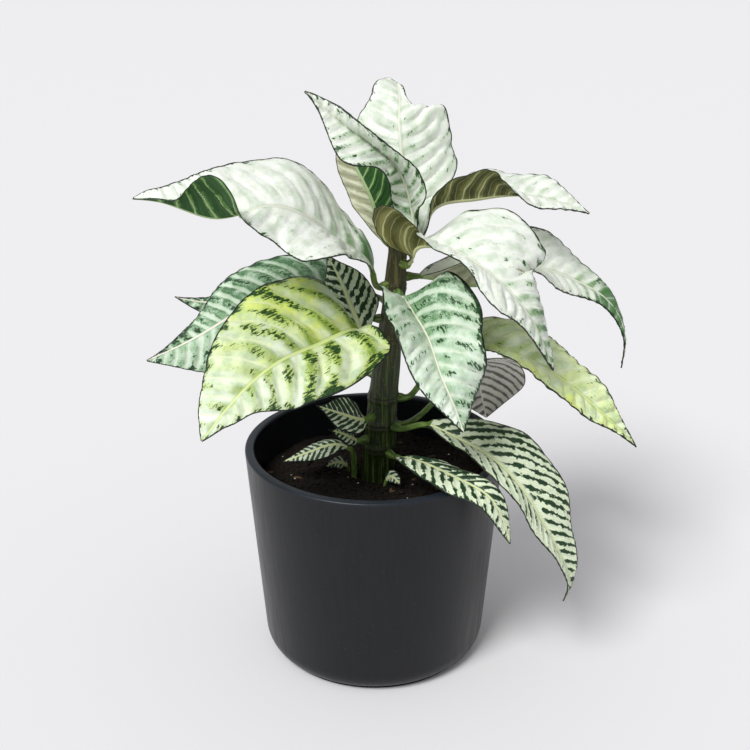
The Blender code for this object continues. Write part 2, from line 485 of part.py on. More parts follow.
def normals(rows):
    """The direction up from the surface at each point of the rows."""
    over = np.gradient(rows, axis=0)
    across = np.gradient(rows, axis=1)
    found = np.cross(across, over)
    return found / np.maximum(np.linalg.norm(found, axis=2), 1e-9)[:, :, None]


def leaf_rings(leaf):
    """Closed rings of points from the foot of the stalk to the tip: upper side first, then the under side."""
    fine, run = midrib(leaf)
    across = np.array(ACROSS_SMALL if leaf.get("small") else ACROSS_LARGE, float)
    count = STATIONS_SMALL if leaf.get("small") else STATIONS_LARGE
    radius = leaf.get("stalk_radius", STALK_RADIUS)
    at = np.linspace(0, leaf["stalk"] - min(3.0, leaf["stalk"] / 3), STALK_STATIONS)
    middle, _, side, up, _ = frame_at(leaf, fine, run, at)
    angle = across * math.radians(80)
    rings = []
    for m, r, u in zip(middle, side, up):
        upper = [m + radius * (math.sin(a) * r + math.cos(a) * u) for a in angle]
        lower = [m + radius * (math.sin(a) * r - math.cos(a) * u) for a in angle]
        rings.append(upper + lower[::-1])
    s = np.linspace(0, 1, count + 1)[:-1]
    rows = blade(leaf, fine, run, s, across)
    up = normals(rows)
    for row, n, share in zip(rows, up, s):
        rib = RIB_DEPTH * (1 - share) * (np.abs(across) < 0.05)
        upper = [p + d * BLADE_THICK / 2 for p, d in zip(row, n)]
        lower = [p - d * (BLADE_THICK / 2 + deep) for p, d, deep in zip(row, n, rib)]
        rings.append(upper + lower[::-1])
    return rings, fine[0], fine[-1]


def leaf_object(name, leaf, home, finish):
    """A loft through the rings, split alike on both sides, closed by a fan at its foot and at its tip."""
    rings, foot, tip = leaf_rings(leaf)
    size = len(rings[0])
    half = size // 2
    points = [p for ring in rings for p in ring] + [foot, tip]
    faces = []
    for i in range(len(rings) - 1):
        for j in range(size):
            a, b = i * size + j, i * size + (j + 1) % size
            c, d = b + size, a + size
            upper = j < half - 1
            faces += [(a, b, c), (a, c, d)] if upper else [(a, b, d), (b, c, d)]
    last = (len(rings) - 1) * size
    for j in range(size):
        faces.append((len(points) - 2, (j + 1) % size, j))
        faces.append((len(points) - 1, last + j, last + (j + 1) % size))
    return mesh_object(name, points, faces, home, finish)


def build():
    clear_scene()
    home = collection("potted_zebra_plant")
    cutters = collection("cutters")
    pot(home)
    soil(home, cutters)
    stem(home)
    green = material("zebra_leaf", "#cfe0c4", 0.45)
    for name, leaf in LEAVES.items():
        leaf_object(name, leaf, home, green)


build()
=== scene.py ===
"""Potted zebra plant, as it looks: pot, soil, stem and 23 variegated leaves, each in place of its solid."""

import math

import bpy
import numpy as np
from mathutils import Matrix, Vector, noise


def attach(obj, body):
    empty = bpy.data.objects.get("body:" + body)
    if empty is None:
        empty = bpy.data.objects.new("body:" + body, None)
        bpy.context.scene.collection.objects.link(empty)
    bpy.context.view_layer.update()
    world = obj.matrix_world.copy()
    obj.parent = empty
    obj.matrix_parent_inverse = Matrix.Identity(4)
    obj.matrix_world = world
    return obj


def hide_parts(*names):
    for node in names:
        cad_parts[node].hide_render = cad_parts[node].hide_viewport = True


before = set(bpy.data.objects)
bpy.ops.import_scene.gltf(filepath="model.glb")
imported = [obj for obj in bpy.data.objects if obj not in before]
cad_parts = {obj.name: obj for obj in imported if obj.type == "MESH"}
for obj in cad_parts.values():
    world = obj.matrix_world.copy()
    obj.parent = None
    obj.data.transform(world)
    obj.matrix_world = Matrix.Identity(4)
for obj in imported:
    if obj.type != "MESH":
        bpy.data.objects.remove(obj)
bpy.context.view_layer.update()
MM = 0.001
BODY = "root"

# Pot, mm
POT_RIM_RADIUS = 70.0
POT_BASE_RADIUS = 61.0
POT_HEIGHT = 119.0
POT_CORNER = 12.0
POT_WALL = 5.0
POT_FLOOR = 7.0
FLOOR_ROUND = 6
LIP_ROUND_INSIDE = 1.6
LIP_ROUND_OUTSIDE = 1.5
FOOT_RADIUS = 56
FOOT_INSIDE = 54.5
FOOT_RECESS = 0.8
FOOT_ROUND = 0.5
TURN_STEPS = 192
ARC_STEPS = 10

# Soil, mm
SOIL_LEVEL = 99.0
SOIL_EDGE_DROP = 2.0
SOIL_BUMP = 1.6
SOIL_PLAY = 0.4
SOIL_SIDES = 160
SOIL_RINGS = 64
GROUND_STEP = 2.0
CLEAR_OF_WALL = 2.5
CLEAR_OF_STEM = 12

# Stem: where its axis runs and how thick it is, mm
STEM_AXIS = [(2, 0, 78), (2, 0, 99), (3, 0, 120), (6, 0, 160), (10, 0, 200), (12, 0, 225), (13, 1, 240)]
STEM_RADIUS = [8.0, 9.0, 8.6, 7.2, 5.6, 4.8, 3.6]
STEM_NODES = (117, 131, 147, 180, 208, 230)
NODE_SWELL = 0.8
SEAT_GAP = 0.5
SEAT_RUN = 3.0
STEM_FOOT_TRIM = 6
STEM_SIDES = 72
STEM_STEPS = 300
STEM_CAP_STEPS = 6
STEM_CAP_HEIGHT = 2.2
SCAR_DEPTH = 0.45

# Leaves, mm
BLADE_THICK = 0.55
MARGIN_THICK = 0.3
RIB_DEPTH = 1.1
QUILT_DEPTH = {"white": 2.1, "mint": 2.6, "spring": 3.3, "zebra": 1.5}
WRINKLE = 0.35
FINE_WRINKLE = 0.3
RUFFLE = 0.55
UNDER_VEIN = 0.22
STALK_RADIUS = 1.6
TIP_HALF_WIDTH = 0.3
STATIONS_LARGE = 132
COLUMNS_LARGE = 23
STATIONS_SMALL = 64
COLUMNS_SMALL = 12
# Where the left half's veins meet the midrib, in shares of the gap, so that the two halves alternate
LEFT_VEIN_SHIFT = 0.37
# Where the right edge's waves start, in shares of a wave
RIGHT_WAVE_SHIFT = 0.37

# Camera, sun and surround
LENS = 55.2
SENSOR = 36
CAMERA_AT = (0.0004, -0.564, 0.389)
CAMERA_LOOKS_AT = (0.0004, 0, 0.1585)
SUN_STRENGTH = 2.55
SUN_WIDTH = math.radians(24)
SUN_FROM = (-35, 50)
WORLD_STRENGTH = 0.54
FLOOR_REACH = 9

# A leaf starts at seat, its height and compass bearing on the stem (0 towards the viewer, 90 to the right),
# or at root, a point in the soil. route is where its midrib runs, to the tip. stalk is the length before the
# blade. face gives the bearing and elevation that the upper side looks to, at even steps along the blade.
# left and right are the half widths at even steps, seen from above with the tip ahead. lift is how far each
# half is raised from flat, in degrees, and back how far its edge lies back towards the base.
# Part of these numbers came from fits. The lists of 25 values of the first six leaves were fitted to margins
# read off the photo, and a few were then changed one by one. The lifts of nine other leaves came from a fit
# and were then smoothed. A fit placed midrib points read off the photo, and 13 of the routes still hold some
# of them. The rest was chosen.
LEAVES = {
    "leaf_left_high": dict(
        seat=(209, -60), stalk=15,
        route=[(-1, -9, 219), (-17, -18, 237), (-35, -28, 253), (-51, -34, 258), (-61, -38, 256),
               (-74, -40, 254), (-86, -40, 257), (-98, -39, 261), (-114, -36, 262)],
        face=[(30, 50), (10, 62), (0, 55), (0, 50)],
        left=[3, 6, 10, 13.5, 17, 21, 25.1, 29.2, 32.5, 34.2, 33.9, 30.3, 24.5, 20.8, 16.7, 22, 25.6,
              29.2, 30.1, 25.6, 16.6, 8.7, 6.1, 5.3, 0],
        lift_left=[39.7, 37.8, 35.9, 35.1, 34.2, 34.5, 34.8, 29.2, 21.7, 15.1, 10.2, 8.1, 7.1, 21.3, 37,
                   57.5, 77.4, 93.2, 100.7, 103, 100, 85, 75, 65, 60],
        back_left=[0, 0, 0, -0.1, -0.1, -0.1, 0, 0.3, 0.8, 1.5, 2.2, 0.3, -1.8, -6.1, -4, 1.7, 6.9, 5.3,
                   1.4, 1.5, 3.8, 6.4, 4.6, 3.4, 1.8],
        right=[3, 17, 27, 26.5, 30, 29.5, 31, 31.5, 32.1, 32.1, 32.2, 31.2, 29.3, 28.2, 27.8, 27, 25.8,
               23.5, 20.2, 16.4, 13.3, 9.4, 6.6, 4.3, 0],
        lift_right=[-10, -9.3, -8.1, -6.2, -3, 1.3, 6, 10.7, 14.7, 17.5, 18.6, 17.6, 15.9, 15.9, 18.2,
                    23.8, 28.7, 26.6, 17, 9.6, 4.7, 8.1, 13.9, 19.8, 24.8],
        back_right=[0, 3, 5.8, 7.9, 9, 9, 8.1, 6.6, 4.7, 2.8, 1.3, 0.5, 1.1, 3.8, 3.4, 0.3, -3.1, -7.2,
                    -9, -7.7, -5.5, -2.7, -0.4, 0.6, 1.3],
        curl=-20, wave=(1.2, 3, 0.2)),
    "leaf_crown_left": dict(
        seat=(234, 40), stalk=10, route=[(18, -6, 254), (8, -12, 275), (-14, -18, 293), (-33, -18, 309)],
        face=[(-30, 10), (-10, 30), (0, 30)],
        left=[3.8, 6.1, 8.2, 9.8, 10.3, 9.5, 8.6, 8.1, 8.4, 9.2, 10, 10, 11.5, 14.1, 17, 18.5, 18.3, 16.1,
              12.9, 9.5, 6.5, 3.9, 2, 0.7, 0],
        lift_left=[35, 26.2, 18.5, 12.7, 9.9, 10.7, 16.9, 26.7, 37.1, 44.7, 48.4, 50, 49.7, 48.4, 44.5,
                   39.7, 35.5, 34.1, 33.5, 32.4, 31, 30.1, 29.6, 29.6, 29.9],
        back_left=[0, 0, 0, 0, 0, 0.2, 0.4, 0.7, 0.8, 0.8, 0.9, 1.1, 0.2, -0.4, -0.4, -0.3, -0.2, 0, 0.3,
                   0.4, 0.4, 0.4, 0.3, 0.2, 0],
        right=[2.7, 5.5, 8.4, 11.4, 14.7, 17.3, 19.2, 19.9, 19.5, 18.1, 15.8, 12.8, 10.6, 10.4, 11.4,
               11.6, 10.5, 8.9, 7.5, 6.6, 5.6, 4.4, 3.2, 2, 0],
        lift_right=[50.4, 56, 61, 63.7, 61.8, 62.7, 64.6, 68.7, 74.5, 80.4, 85.5, 88.6, 88.6, 89.7, 91.2,
                    90.3, 87, 80.5, 70.8, 59.3, 47.6, 35.9, 24.1, 12.1, -0.1],
        back_right=[-0.1, -0.2, -0.2, 0, 1.2, 1.4, 1.2, 0.6, 0.2, 0, 0.3, 0.5, 0.3, -0.1, -0.3, -0.2,
                    -0.1, -0.1, 0, 0, 0.2, 0.2, 0.2, 0, 0],
        wave=(0.8, 3, 0.5)),
    "leaf_crown_far_left": dict(
        seat=(229, -140), stalk=7, route=[(0, 13, 246), (-9, 20, 265), (-16, 24, 286)],
        face=[(180, 10), (180, 20), (180, 20)],
        left=[2.5, 4.8, 6.7, 8, 8.5, 8.6, 9.9, 11.4, 12.7, 13.5, 13.7, 13.6, 13.3, 12.9, 12.4, 11.9, 11.3,
              10.7, 9.9, 9.1, 7.8, 6.1, 4.1, 2.1, 0],
        lift_left=[5, 5, 5, 4.8, 4.4, 3.8, 3.7, 3.7, 3.8, 3.8, 3.7, 3.6, 3.6, 3.7, 3.9, 4.2, 4.3, 4.5,
                   4.7, 5, 5, 5, 5, 5, 5],
        back_left=[0, 0, 0, -0.2, -0.5, -0.9, -0.8, -0.5, -0.3, -0.1, 0, 0.1, 0.1, 0.1, 0.1, 0.1, 0.1,
                   0.1, 0.1, 0, 0, 0, 0, 0, 0],
        right=[2, 9, 14, 13, 9, 0], lift_right=35, wave=(0.6, 2, 0)),
    "leaf_crown_back": dict(
        seat=(236, 178), stalk=8, route=[(14, 31, 270), (13, 41, 287), (13, 53, 297), (9, 66, 303)],
        face=[(0, 20), (-10, 35), (0, 60)],
        left=[2, 4.4, 7, 9.7, 12, 13.6, 15, 16.5, 17.9, 18.9, 20, 21.5, 22.9, 23.6, 24, 23.7, 22.8, 20.7,
              18.5, 16.6, 14.9, 13.7, 11.4, 6.8, 0],
        lift_left=[50, 51.1, 51.4, 49.9, 45.8, 38.1, 26.9, 13.8, 0.7, -10.4, -17.4, -19.4, -17.1, -11.5,
                   -4.5, 0.3, 4, 6.6, 10, 14.1, 18.3, 23.5, 29.3, 34.1, 37.9],
        back_left=[0, 0, 0, 0, 0, 0, 0, 0, 0, 0, 0, 0, 0.1, 0.1, 0.2, 0.1, 0.1, 0, -0.2, -0.4, -0.7, -1.2,
                   -1.6, -1.4, -0.7],
        right=[3, 5.8, 9, 12.8, 17, 21.2, 25, 27.9, 30, 31.4, 32.1, 31.9, 31.2, 30.1, 28.7, 26.4, 23.4,
               16.8, 10, 6.1, 3.7, 3.7, 3.6, 2.2, 0],
        lift_right=[10, 8.3, 6.5, 4.5, 2.2, -0.5, -3.6, -7, -10.6, -14.2, -17.7, -20.4, -21.2, -17.9,
                    -11.5, -3.5, 10.9, 9.7, 0.4, -1.6, -1.7, -0.5, 0.1, -1.8, -4.5],
        back_right=[0, 0, 0, 0, 0, -0.1, -0.1, -0.1, -0.1, 0.1, 0.5, 1.2, 1.8, 1.6, 0.1, -3.1, -5.1, -1.4,
                    2.3, 3, 2.1, 1.6, 1.4, 1.4, 0.8],
        wave=(1.0, 3, 0.3)),
    "leaf_crown_right": dict(
        seat=(231, 100), stalk=6,
        route=[(29, 10, 244), (49, 16, 249), (66, 21, 250), (88, 24, 248), (112, 18, 241)],
        face=[(0, 60), (0, 60), (0, 50), (10, 40)],
        left=[3, 4.4, 5.8, 7.4, 9, 10.8, 12.7, 14.8, 17, 19.4, 21.6, 23.6, 25, 25.9, 25.8, 24.8, 23.3,
              21.4, 19.1, 15.8, 12.1, 8.6, 5.3, 2.4, 0],
        lift_left=[10, 7.4, 4.9, 2.8, 1, -0.2, -0.8, -0.8, -0.3, 0.4, 1.1, 1.4, 0.3, -0.5, -5.5, -11.1,
                   -12.9, -10.4, -4.7, -2.9, -2.9, -3.3, -3, -2.2, -0.8],
        back_left=[0, 0, 0, 0, 0, 0, 0, 0, 0, 0, 0, 0, 0.1, 0.2, 0.2, 0.1, 0, 0, 0, 0, 0.1, 0.2, 0.3, 0.3,
                   0.2],
        right=[4.2, 5.9, 7.6, 8.9, 9.9, 10.5, 11, 12.6, 14.3, 16, 17.4, 18.8, 19.3, 18.3, 16.7, 15.6,
               14.6, 13.8, 12.6, 10.8, 8.6, 6.4, 4.1, 2, 0],
        lift_right=[71, 77.5, 83.5, 88.4, 91.8, 93.9, 96.2, 101.5, 106.6, 109, 110.2, 110.2, 107.8, 97.3,
                    84.3, 69.1, 56.1, 47.1, 42.6, 43.5, 46.2, 46.1, 45.1, 43.2, 41.2],
        back_right=[-0.3, -0.3, -0.1, 0.2, 1.2, 2.8, 4.8, 6, 7.1, 6.6, 6.5, 6.5, 7.6, 8.3, 9.3, 8, 6.6,
                    4.4, 2.5, 0.2, -1.3, -1.4, -0.9, -0.4, 0.1],
        wave=(0.8, 3, 0.1)),
    "leaf_right_high": dict(
        seat=(221, 35), stalk=5,
        route=[(20, -10, 229), (29, -17, 234), (46, -34, 232), (61, -48, 223), (74, -58, 209),
               (84, -62, 186)],
        face=[(20, 70), (20, 60), (30, 50), (50, 30)],
        left=[3.1, 5, 8.8, 14.4, 19.9, 25.8, 29.8, 33.3, 36.1, 36.9, 36.7, 37.3, 38.3, 38.6, 32, 21.5,
              19.9, 18.7, 17.8, 16.3, 14.2, 11.7, 7.8, 4.8, 0],
        lift_left=[-10.4, -3.5, 3.5, 10.7, 18.3, 26.5, 27, 29.8, 30, 26.5, 22.8, 15.6, 8.7, 3.6, -3.9,
                   6.3, 5.5, 2.9, -1.4, -6, -9.3, -11.4, -8.9, -1.5, 4.8],
        back_left=[-0.3, 0, 0.4, 1, 1.7, 2.1, 1.4, 0.5, -0.8, -2, -2.6, -2.4, -1.6, 0, 2.6, 3.6, 4.2, 4.6,
                   4.6, 4.2, 3.4, 2.8, 0.9, -0.6, -1.5],
        right=[3.5, 7, 31.5, 15.5, 17.5, 17.5, 16.6, 13.5, 11.9, 12.5, 14.3, 16.5, 19.2, 21.8, 23.1,
               23.1, 21.2, 17.6, 13.9, 11, 8, 5.7, 3.5, 1.7, 0],
        lift_right=[80, 80, 90, 72, 59.8, 53.6, 46.3, 39.9, 37.2, 36.1, 35.3, 34.9, 34, 36.5, 38, 37.3,
                    35.6, 31.9, 28.6, 26.2, 24.4, 22.5, 19.5, 14.7, 9.3],
        back_right=[-1, -3, -7, -6.4, -2.9, -2.1, -2.8, -4.3, -5, -6.2, -7.4, -7.8, -7.3, -6.1, -5.6,
                    -5.4, -4, -1.7, 0, 0.3, -0.1, -0.6, -1, -0.8, -0.5],
        wave=(1.2, 3, 0.6)),
    "leaf_right_back": dict(
        seat=(213, 95), stalk=8,
        route=[(34, 8, 209), (54, 14, 204), (83, 22, 210), (108, 28, 202), (127, 28, 190), (136, 22, 173),
               (134, 16, 155)],
        face=[(10, 70), (10, 60), (20, 55), (60, 20), (80, 0)], left=[3, 18, 26, 24, 22, 14, 8, 4, 0],
        lift_left=[10, 20, 42, 38, 18, 8, 0, 0], right=[3, 21, 24, 20, 16, 11, 6, 3, 0],
        lift_right=[60, 98, 95, 45, 20, 12, -5, -10], wave=(0.9, 3, 0)),
    "leaf_front": dict(
        seat=(206, 15), stalk=4,
        route=[(19, -22, 201), (27, -46, 193), (32, -62, 182), (38, -70, 170), (42, -74, 159)],
        face=[(0, 80), (0, 60), (10, 40), (20, 20)], left=[3, 24, 30, 30, 26, 22, 12, 0],
        lift_left=[0, 52, 38, 43, 38, 0, 0], back_left=[0, 6, 2, 0, 0, 0, 0],
        right=[3, 18, 23, 25, 26, 25, 23, 20, 16, 12, 8, 4, 0], lift_right=[35, 60, 55, 50, 35, 12, 0],
        back_right=[0, 8, 6, 3, 0, 0, 0, 0, 0, 0, 0, 0, 0], wave=(1.1, 3, 0.4)),
    "leaf_left_front": dict(
        seat=(180, -35), stalk=21,
        route=[(-6, -22, 191), (-26, -44, 193), (-44, -62, 191), (-62, -76, 180), (-80, -84, 159)],
        face=[(0, 70), (-10, 55), (-20, 40), (-20, 30)],
        left=[3, 6.5, 12, 15.5, 19, 22, 24, 25.5, 26, 26, 26, 26, 25.5, 24.5, 23, 20.5, 18, 15.5, 12.5,
              10, 8, 5.5, 3.5, 2, 0],
        lift_left=[60, 57, 45, 25, 10, 3, -2, -4, -5, -5, -7, -10, -14, -16, -18, -18, -17, -16, -14, -12,
                   -9, -6, -4, -2, 0],
        back_left=[0, 2, 6, 12, 17.5, 19, 17.5, 14, 10, 7, 4.5, 2.2, 0.8, 0, 0, 0, 0, 0, 0, 0, 0, 0, 0, 0,
                   0],
        right=[3, 27, 33, 37, 38, 36.5, 35, 31, 26, 21.5, 16, 9, 0],
        lift_right=[10, 34, 39, 35, 32, 20, 22], back_right=[0, 9, 8, 4, 1, 0, 0, 0, 0, 0, 0, 0, 0],
        wave=(1.4, 4, 0.2)),
    "leaf_left_middle": dict(
        seat=(190, -95), stalk=14,
        route=[(-18, 4, 196), (-44, 12, 201), (-71, 14, 190), (-94, 12, 176), (-122, 6, 164)],
        face=[(0, 70), (-10, 55), (-10, 42), (-10, 40)], left=[4, 22, 29, 30, 29, 25, 13, 0],
        lift_left=[-20, -30, -28, -22, -14, -10, -6], right=[5, 22, 28, 28, 22, 12, 4, 0],
        lift_right=[50, 25, 3, 5, 4, 15, 18], wave=(1.0, 4, 0.5)),
    "leaf_left_back": dict(
        seat=(198, -145), stalk=16,
        route=[(-24, 28, 201), (-60, 42, 195), (-90, 48, 183), (-112, 46, 187)],
        face=[(0, 80), (0, 60), (0, 40)], left=[4, 14, 20, 20, 17, 12, 6, 0], lift_left=-10,
        right=[4, 12, 16, 16, 12, 7, 3, 0], wave=(0.9, 3, 0.1)),
    "leaf_left_inner": dict(
        seat=(179, -62), stalk=6, route=[(-7, -7, 187), (-13, 0, 200), (-19, 7, 212), (-25, 12, 222)],
        face=[(0, 30), (-20, 30)], left=[2, 11, 15, 16, 13, 9, 4, 0], right=[2, 7, 13, 16, 14, 10, 4, 0],
        lift_right=[0, -5, -10, -15, 0, 10, 10], wave=(0.6, 2, 0)),
    "leaf_right_middle": dict(
        seat=(146, 85), stalk=26,
        route=[(24, -2, 154), (39, -10, 170), (56, -16, 179), (74, -22, 178), (94, -28, 168),
               (114, -32, 152), (135, -32, 131)],
        face=[(10, 60), (20, 50), (30, 40)], left=[5, 20, 24, 24, 20, 14, 6, 0],
        lift_left=[0, 0, 5, -3, 8, 28, 40], right=[4, 13, 18, 18, 14, 10, 4, 0],
        lift_right=[60, 75, 58, 43, 22, 10, 5], wave=(1.0, 4, 0.3)),
    "leaf_right_inner": dict(
        seat=(128, 110), stalk=36,
        route=[(31, 16, 134), (47, 30, 147), (54, 43, 147), (61, 56, 131), (67, 63, 105)],
        face=[(180, 70), (170, 40), (160, 10)], left=[5, 22, 28, 28, 26, 14, 0],
        lift_left=[30, 10, 0, 0, 0, 0], right=[5, 22, 28, 28, 27, 14, 0],
        lift_right=[30, 26, 12, 13, 5, 0], wave=(0.9, 3, 0.5)),
    "leaf_right_low": dict(
        seat=(131, 50), stalk=22,
        route=[(25, -14, 136), (37, -22, 135), (52, -32, 131), (66, -42, 124), (81, -50, 106),
               (94, -54, 83), (101, -52, 64), (99, -50, 50)],
        face=[(30, 60), (40, 55), (50, 45), (60, 20)], left=[5, 18, 24, 26, 26, 20, 12, 5, 0],
        lift_left=[20, 18, 22, 22, 26, 36, 40, 20], right=[4, 12, 16, 17, 16, 12, 7, 3, 0],
        lift_right=[45, 40, 36, 34, 28, 20, 15, 18], wave=(0.9, 4, 0)),
    "leaf_right_small": dict(
        seat=(116, 35), stalk=10,
        route=[(14, -18, 119), (29, -36, 123), (45, -56, 124), (57, -66, 120), (63, -70, 110),
               (67, -71, 97)],
        face=[(0, 60), (0, 55), (10, 30), (20, 10)], left=[3, 9, 11, 10, 9, 6, 0], lift_left=-20,
        right=[3, 10, 12, 12, 10, 6, 0], lift_right=[40, 38, 30, 38, 38, 10], wave=(0.6, 4, 0.2)),
    "leaf_back_low": dict(
        seat=(150, -165), stalk=12,
        route=[(-6, 25, 152), (-16, 45, 147), (-26, 66, 133), (-32, 82, 112)],
        face=[(180, 80), (-170, 60), (-165, 30)], left=[3, 14, 19, 18, 12, 0],
        right=[3, 14, 19, 18, 12, 0], wave=(0.8, 3, 0)),
    "leaf_back_right": dict(
        seat=(174, 155), stalk=12, route=[(24, 26, 178), (36, 46, 176), (46, 66, 164), (52, 82, 144)],
        face=[(170, 80), (160, 60), (150, 30)], left=[3, 14, 18, 17, 11, 0],
        right=[3, 14, 18, 17, 11, 0], wave=(0.8, 3, 0.4)),
    "leaf_small_left": dict(
        seat=(137, -40), stalk=6, route=[(-13, -17, 142), (-30, -23, 151)], face=[(0, 50), (0, 50)],
        left=[3, 8, 9, 9, 8, 5, 2, 0], lift_left=5, right=[3, 8, 9, 10, 9, 6, 2, 0], lift_right=25,
        small=True),
    "leaf_small_low": dict(
        seat=(123, -60), stalk=6, route=[(-14, -13, 129), (-24, -18, 135)], face=[(0, 50), (0, 40)],
        left=[2, 4, 5, 5, 4, 3, 1, 0], right=[2, 4, 5, 5, 4, 3, 1, 0], small=True),
    "leaf_soil_left": dict(
        root=(-11, -1, 94), stalk=26,
        route=[(-11, -2, 108), (-13, -4, 117), (-18, -5, 120), (-33, -6, 117), (-50, -6, 110)],
        face=[(0, 70), (0, 60)], left=[2, 5, 7, 7, 6, 4, 2, 0], lift_left=0,
        right=[3, 7, 9, 9, 8, 5, 2, 0], lift_right=-15, small=True),
    "sprout_left": dict(
        root=(-14, 4, 95), stalk=8, route=[(-14, 4, 101), (-19, 2, 106), (-27, 0, 104)],
        face=[(0, 40), (0, 30)], left=[1, 3, 4, 3, 2, 0], right=[1, 3, 4, 3, 2, 0],
        stalk_radius=0.9, small=True),
    "sprout_front": dict(
        root=(6, -13, 95), stalk=8, route=[(6, -13, 101), (9, -15, 106), (14, -19, 103)],
        face=[(0, 50), (0, 30)], left=[1, 3, 4, 3, 2, 0], right=[1, 3, 4, 3, 2, 0],
        stalk_radius=0.9, small=True),
}
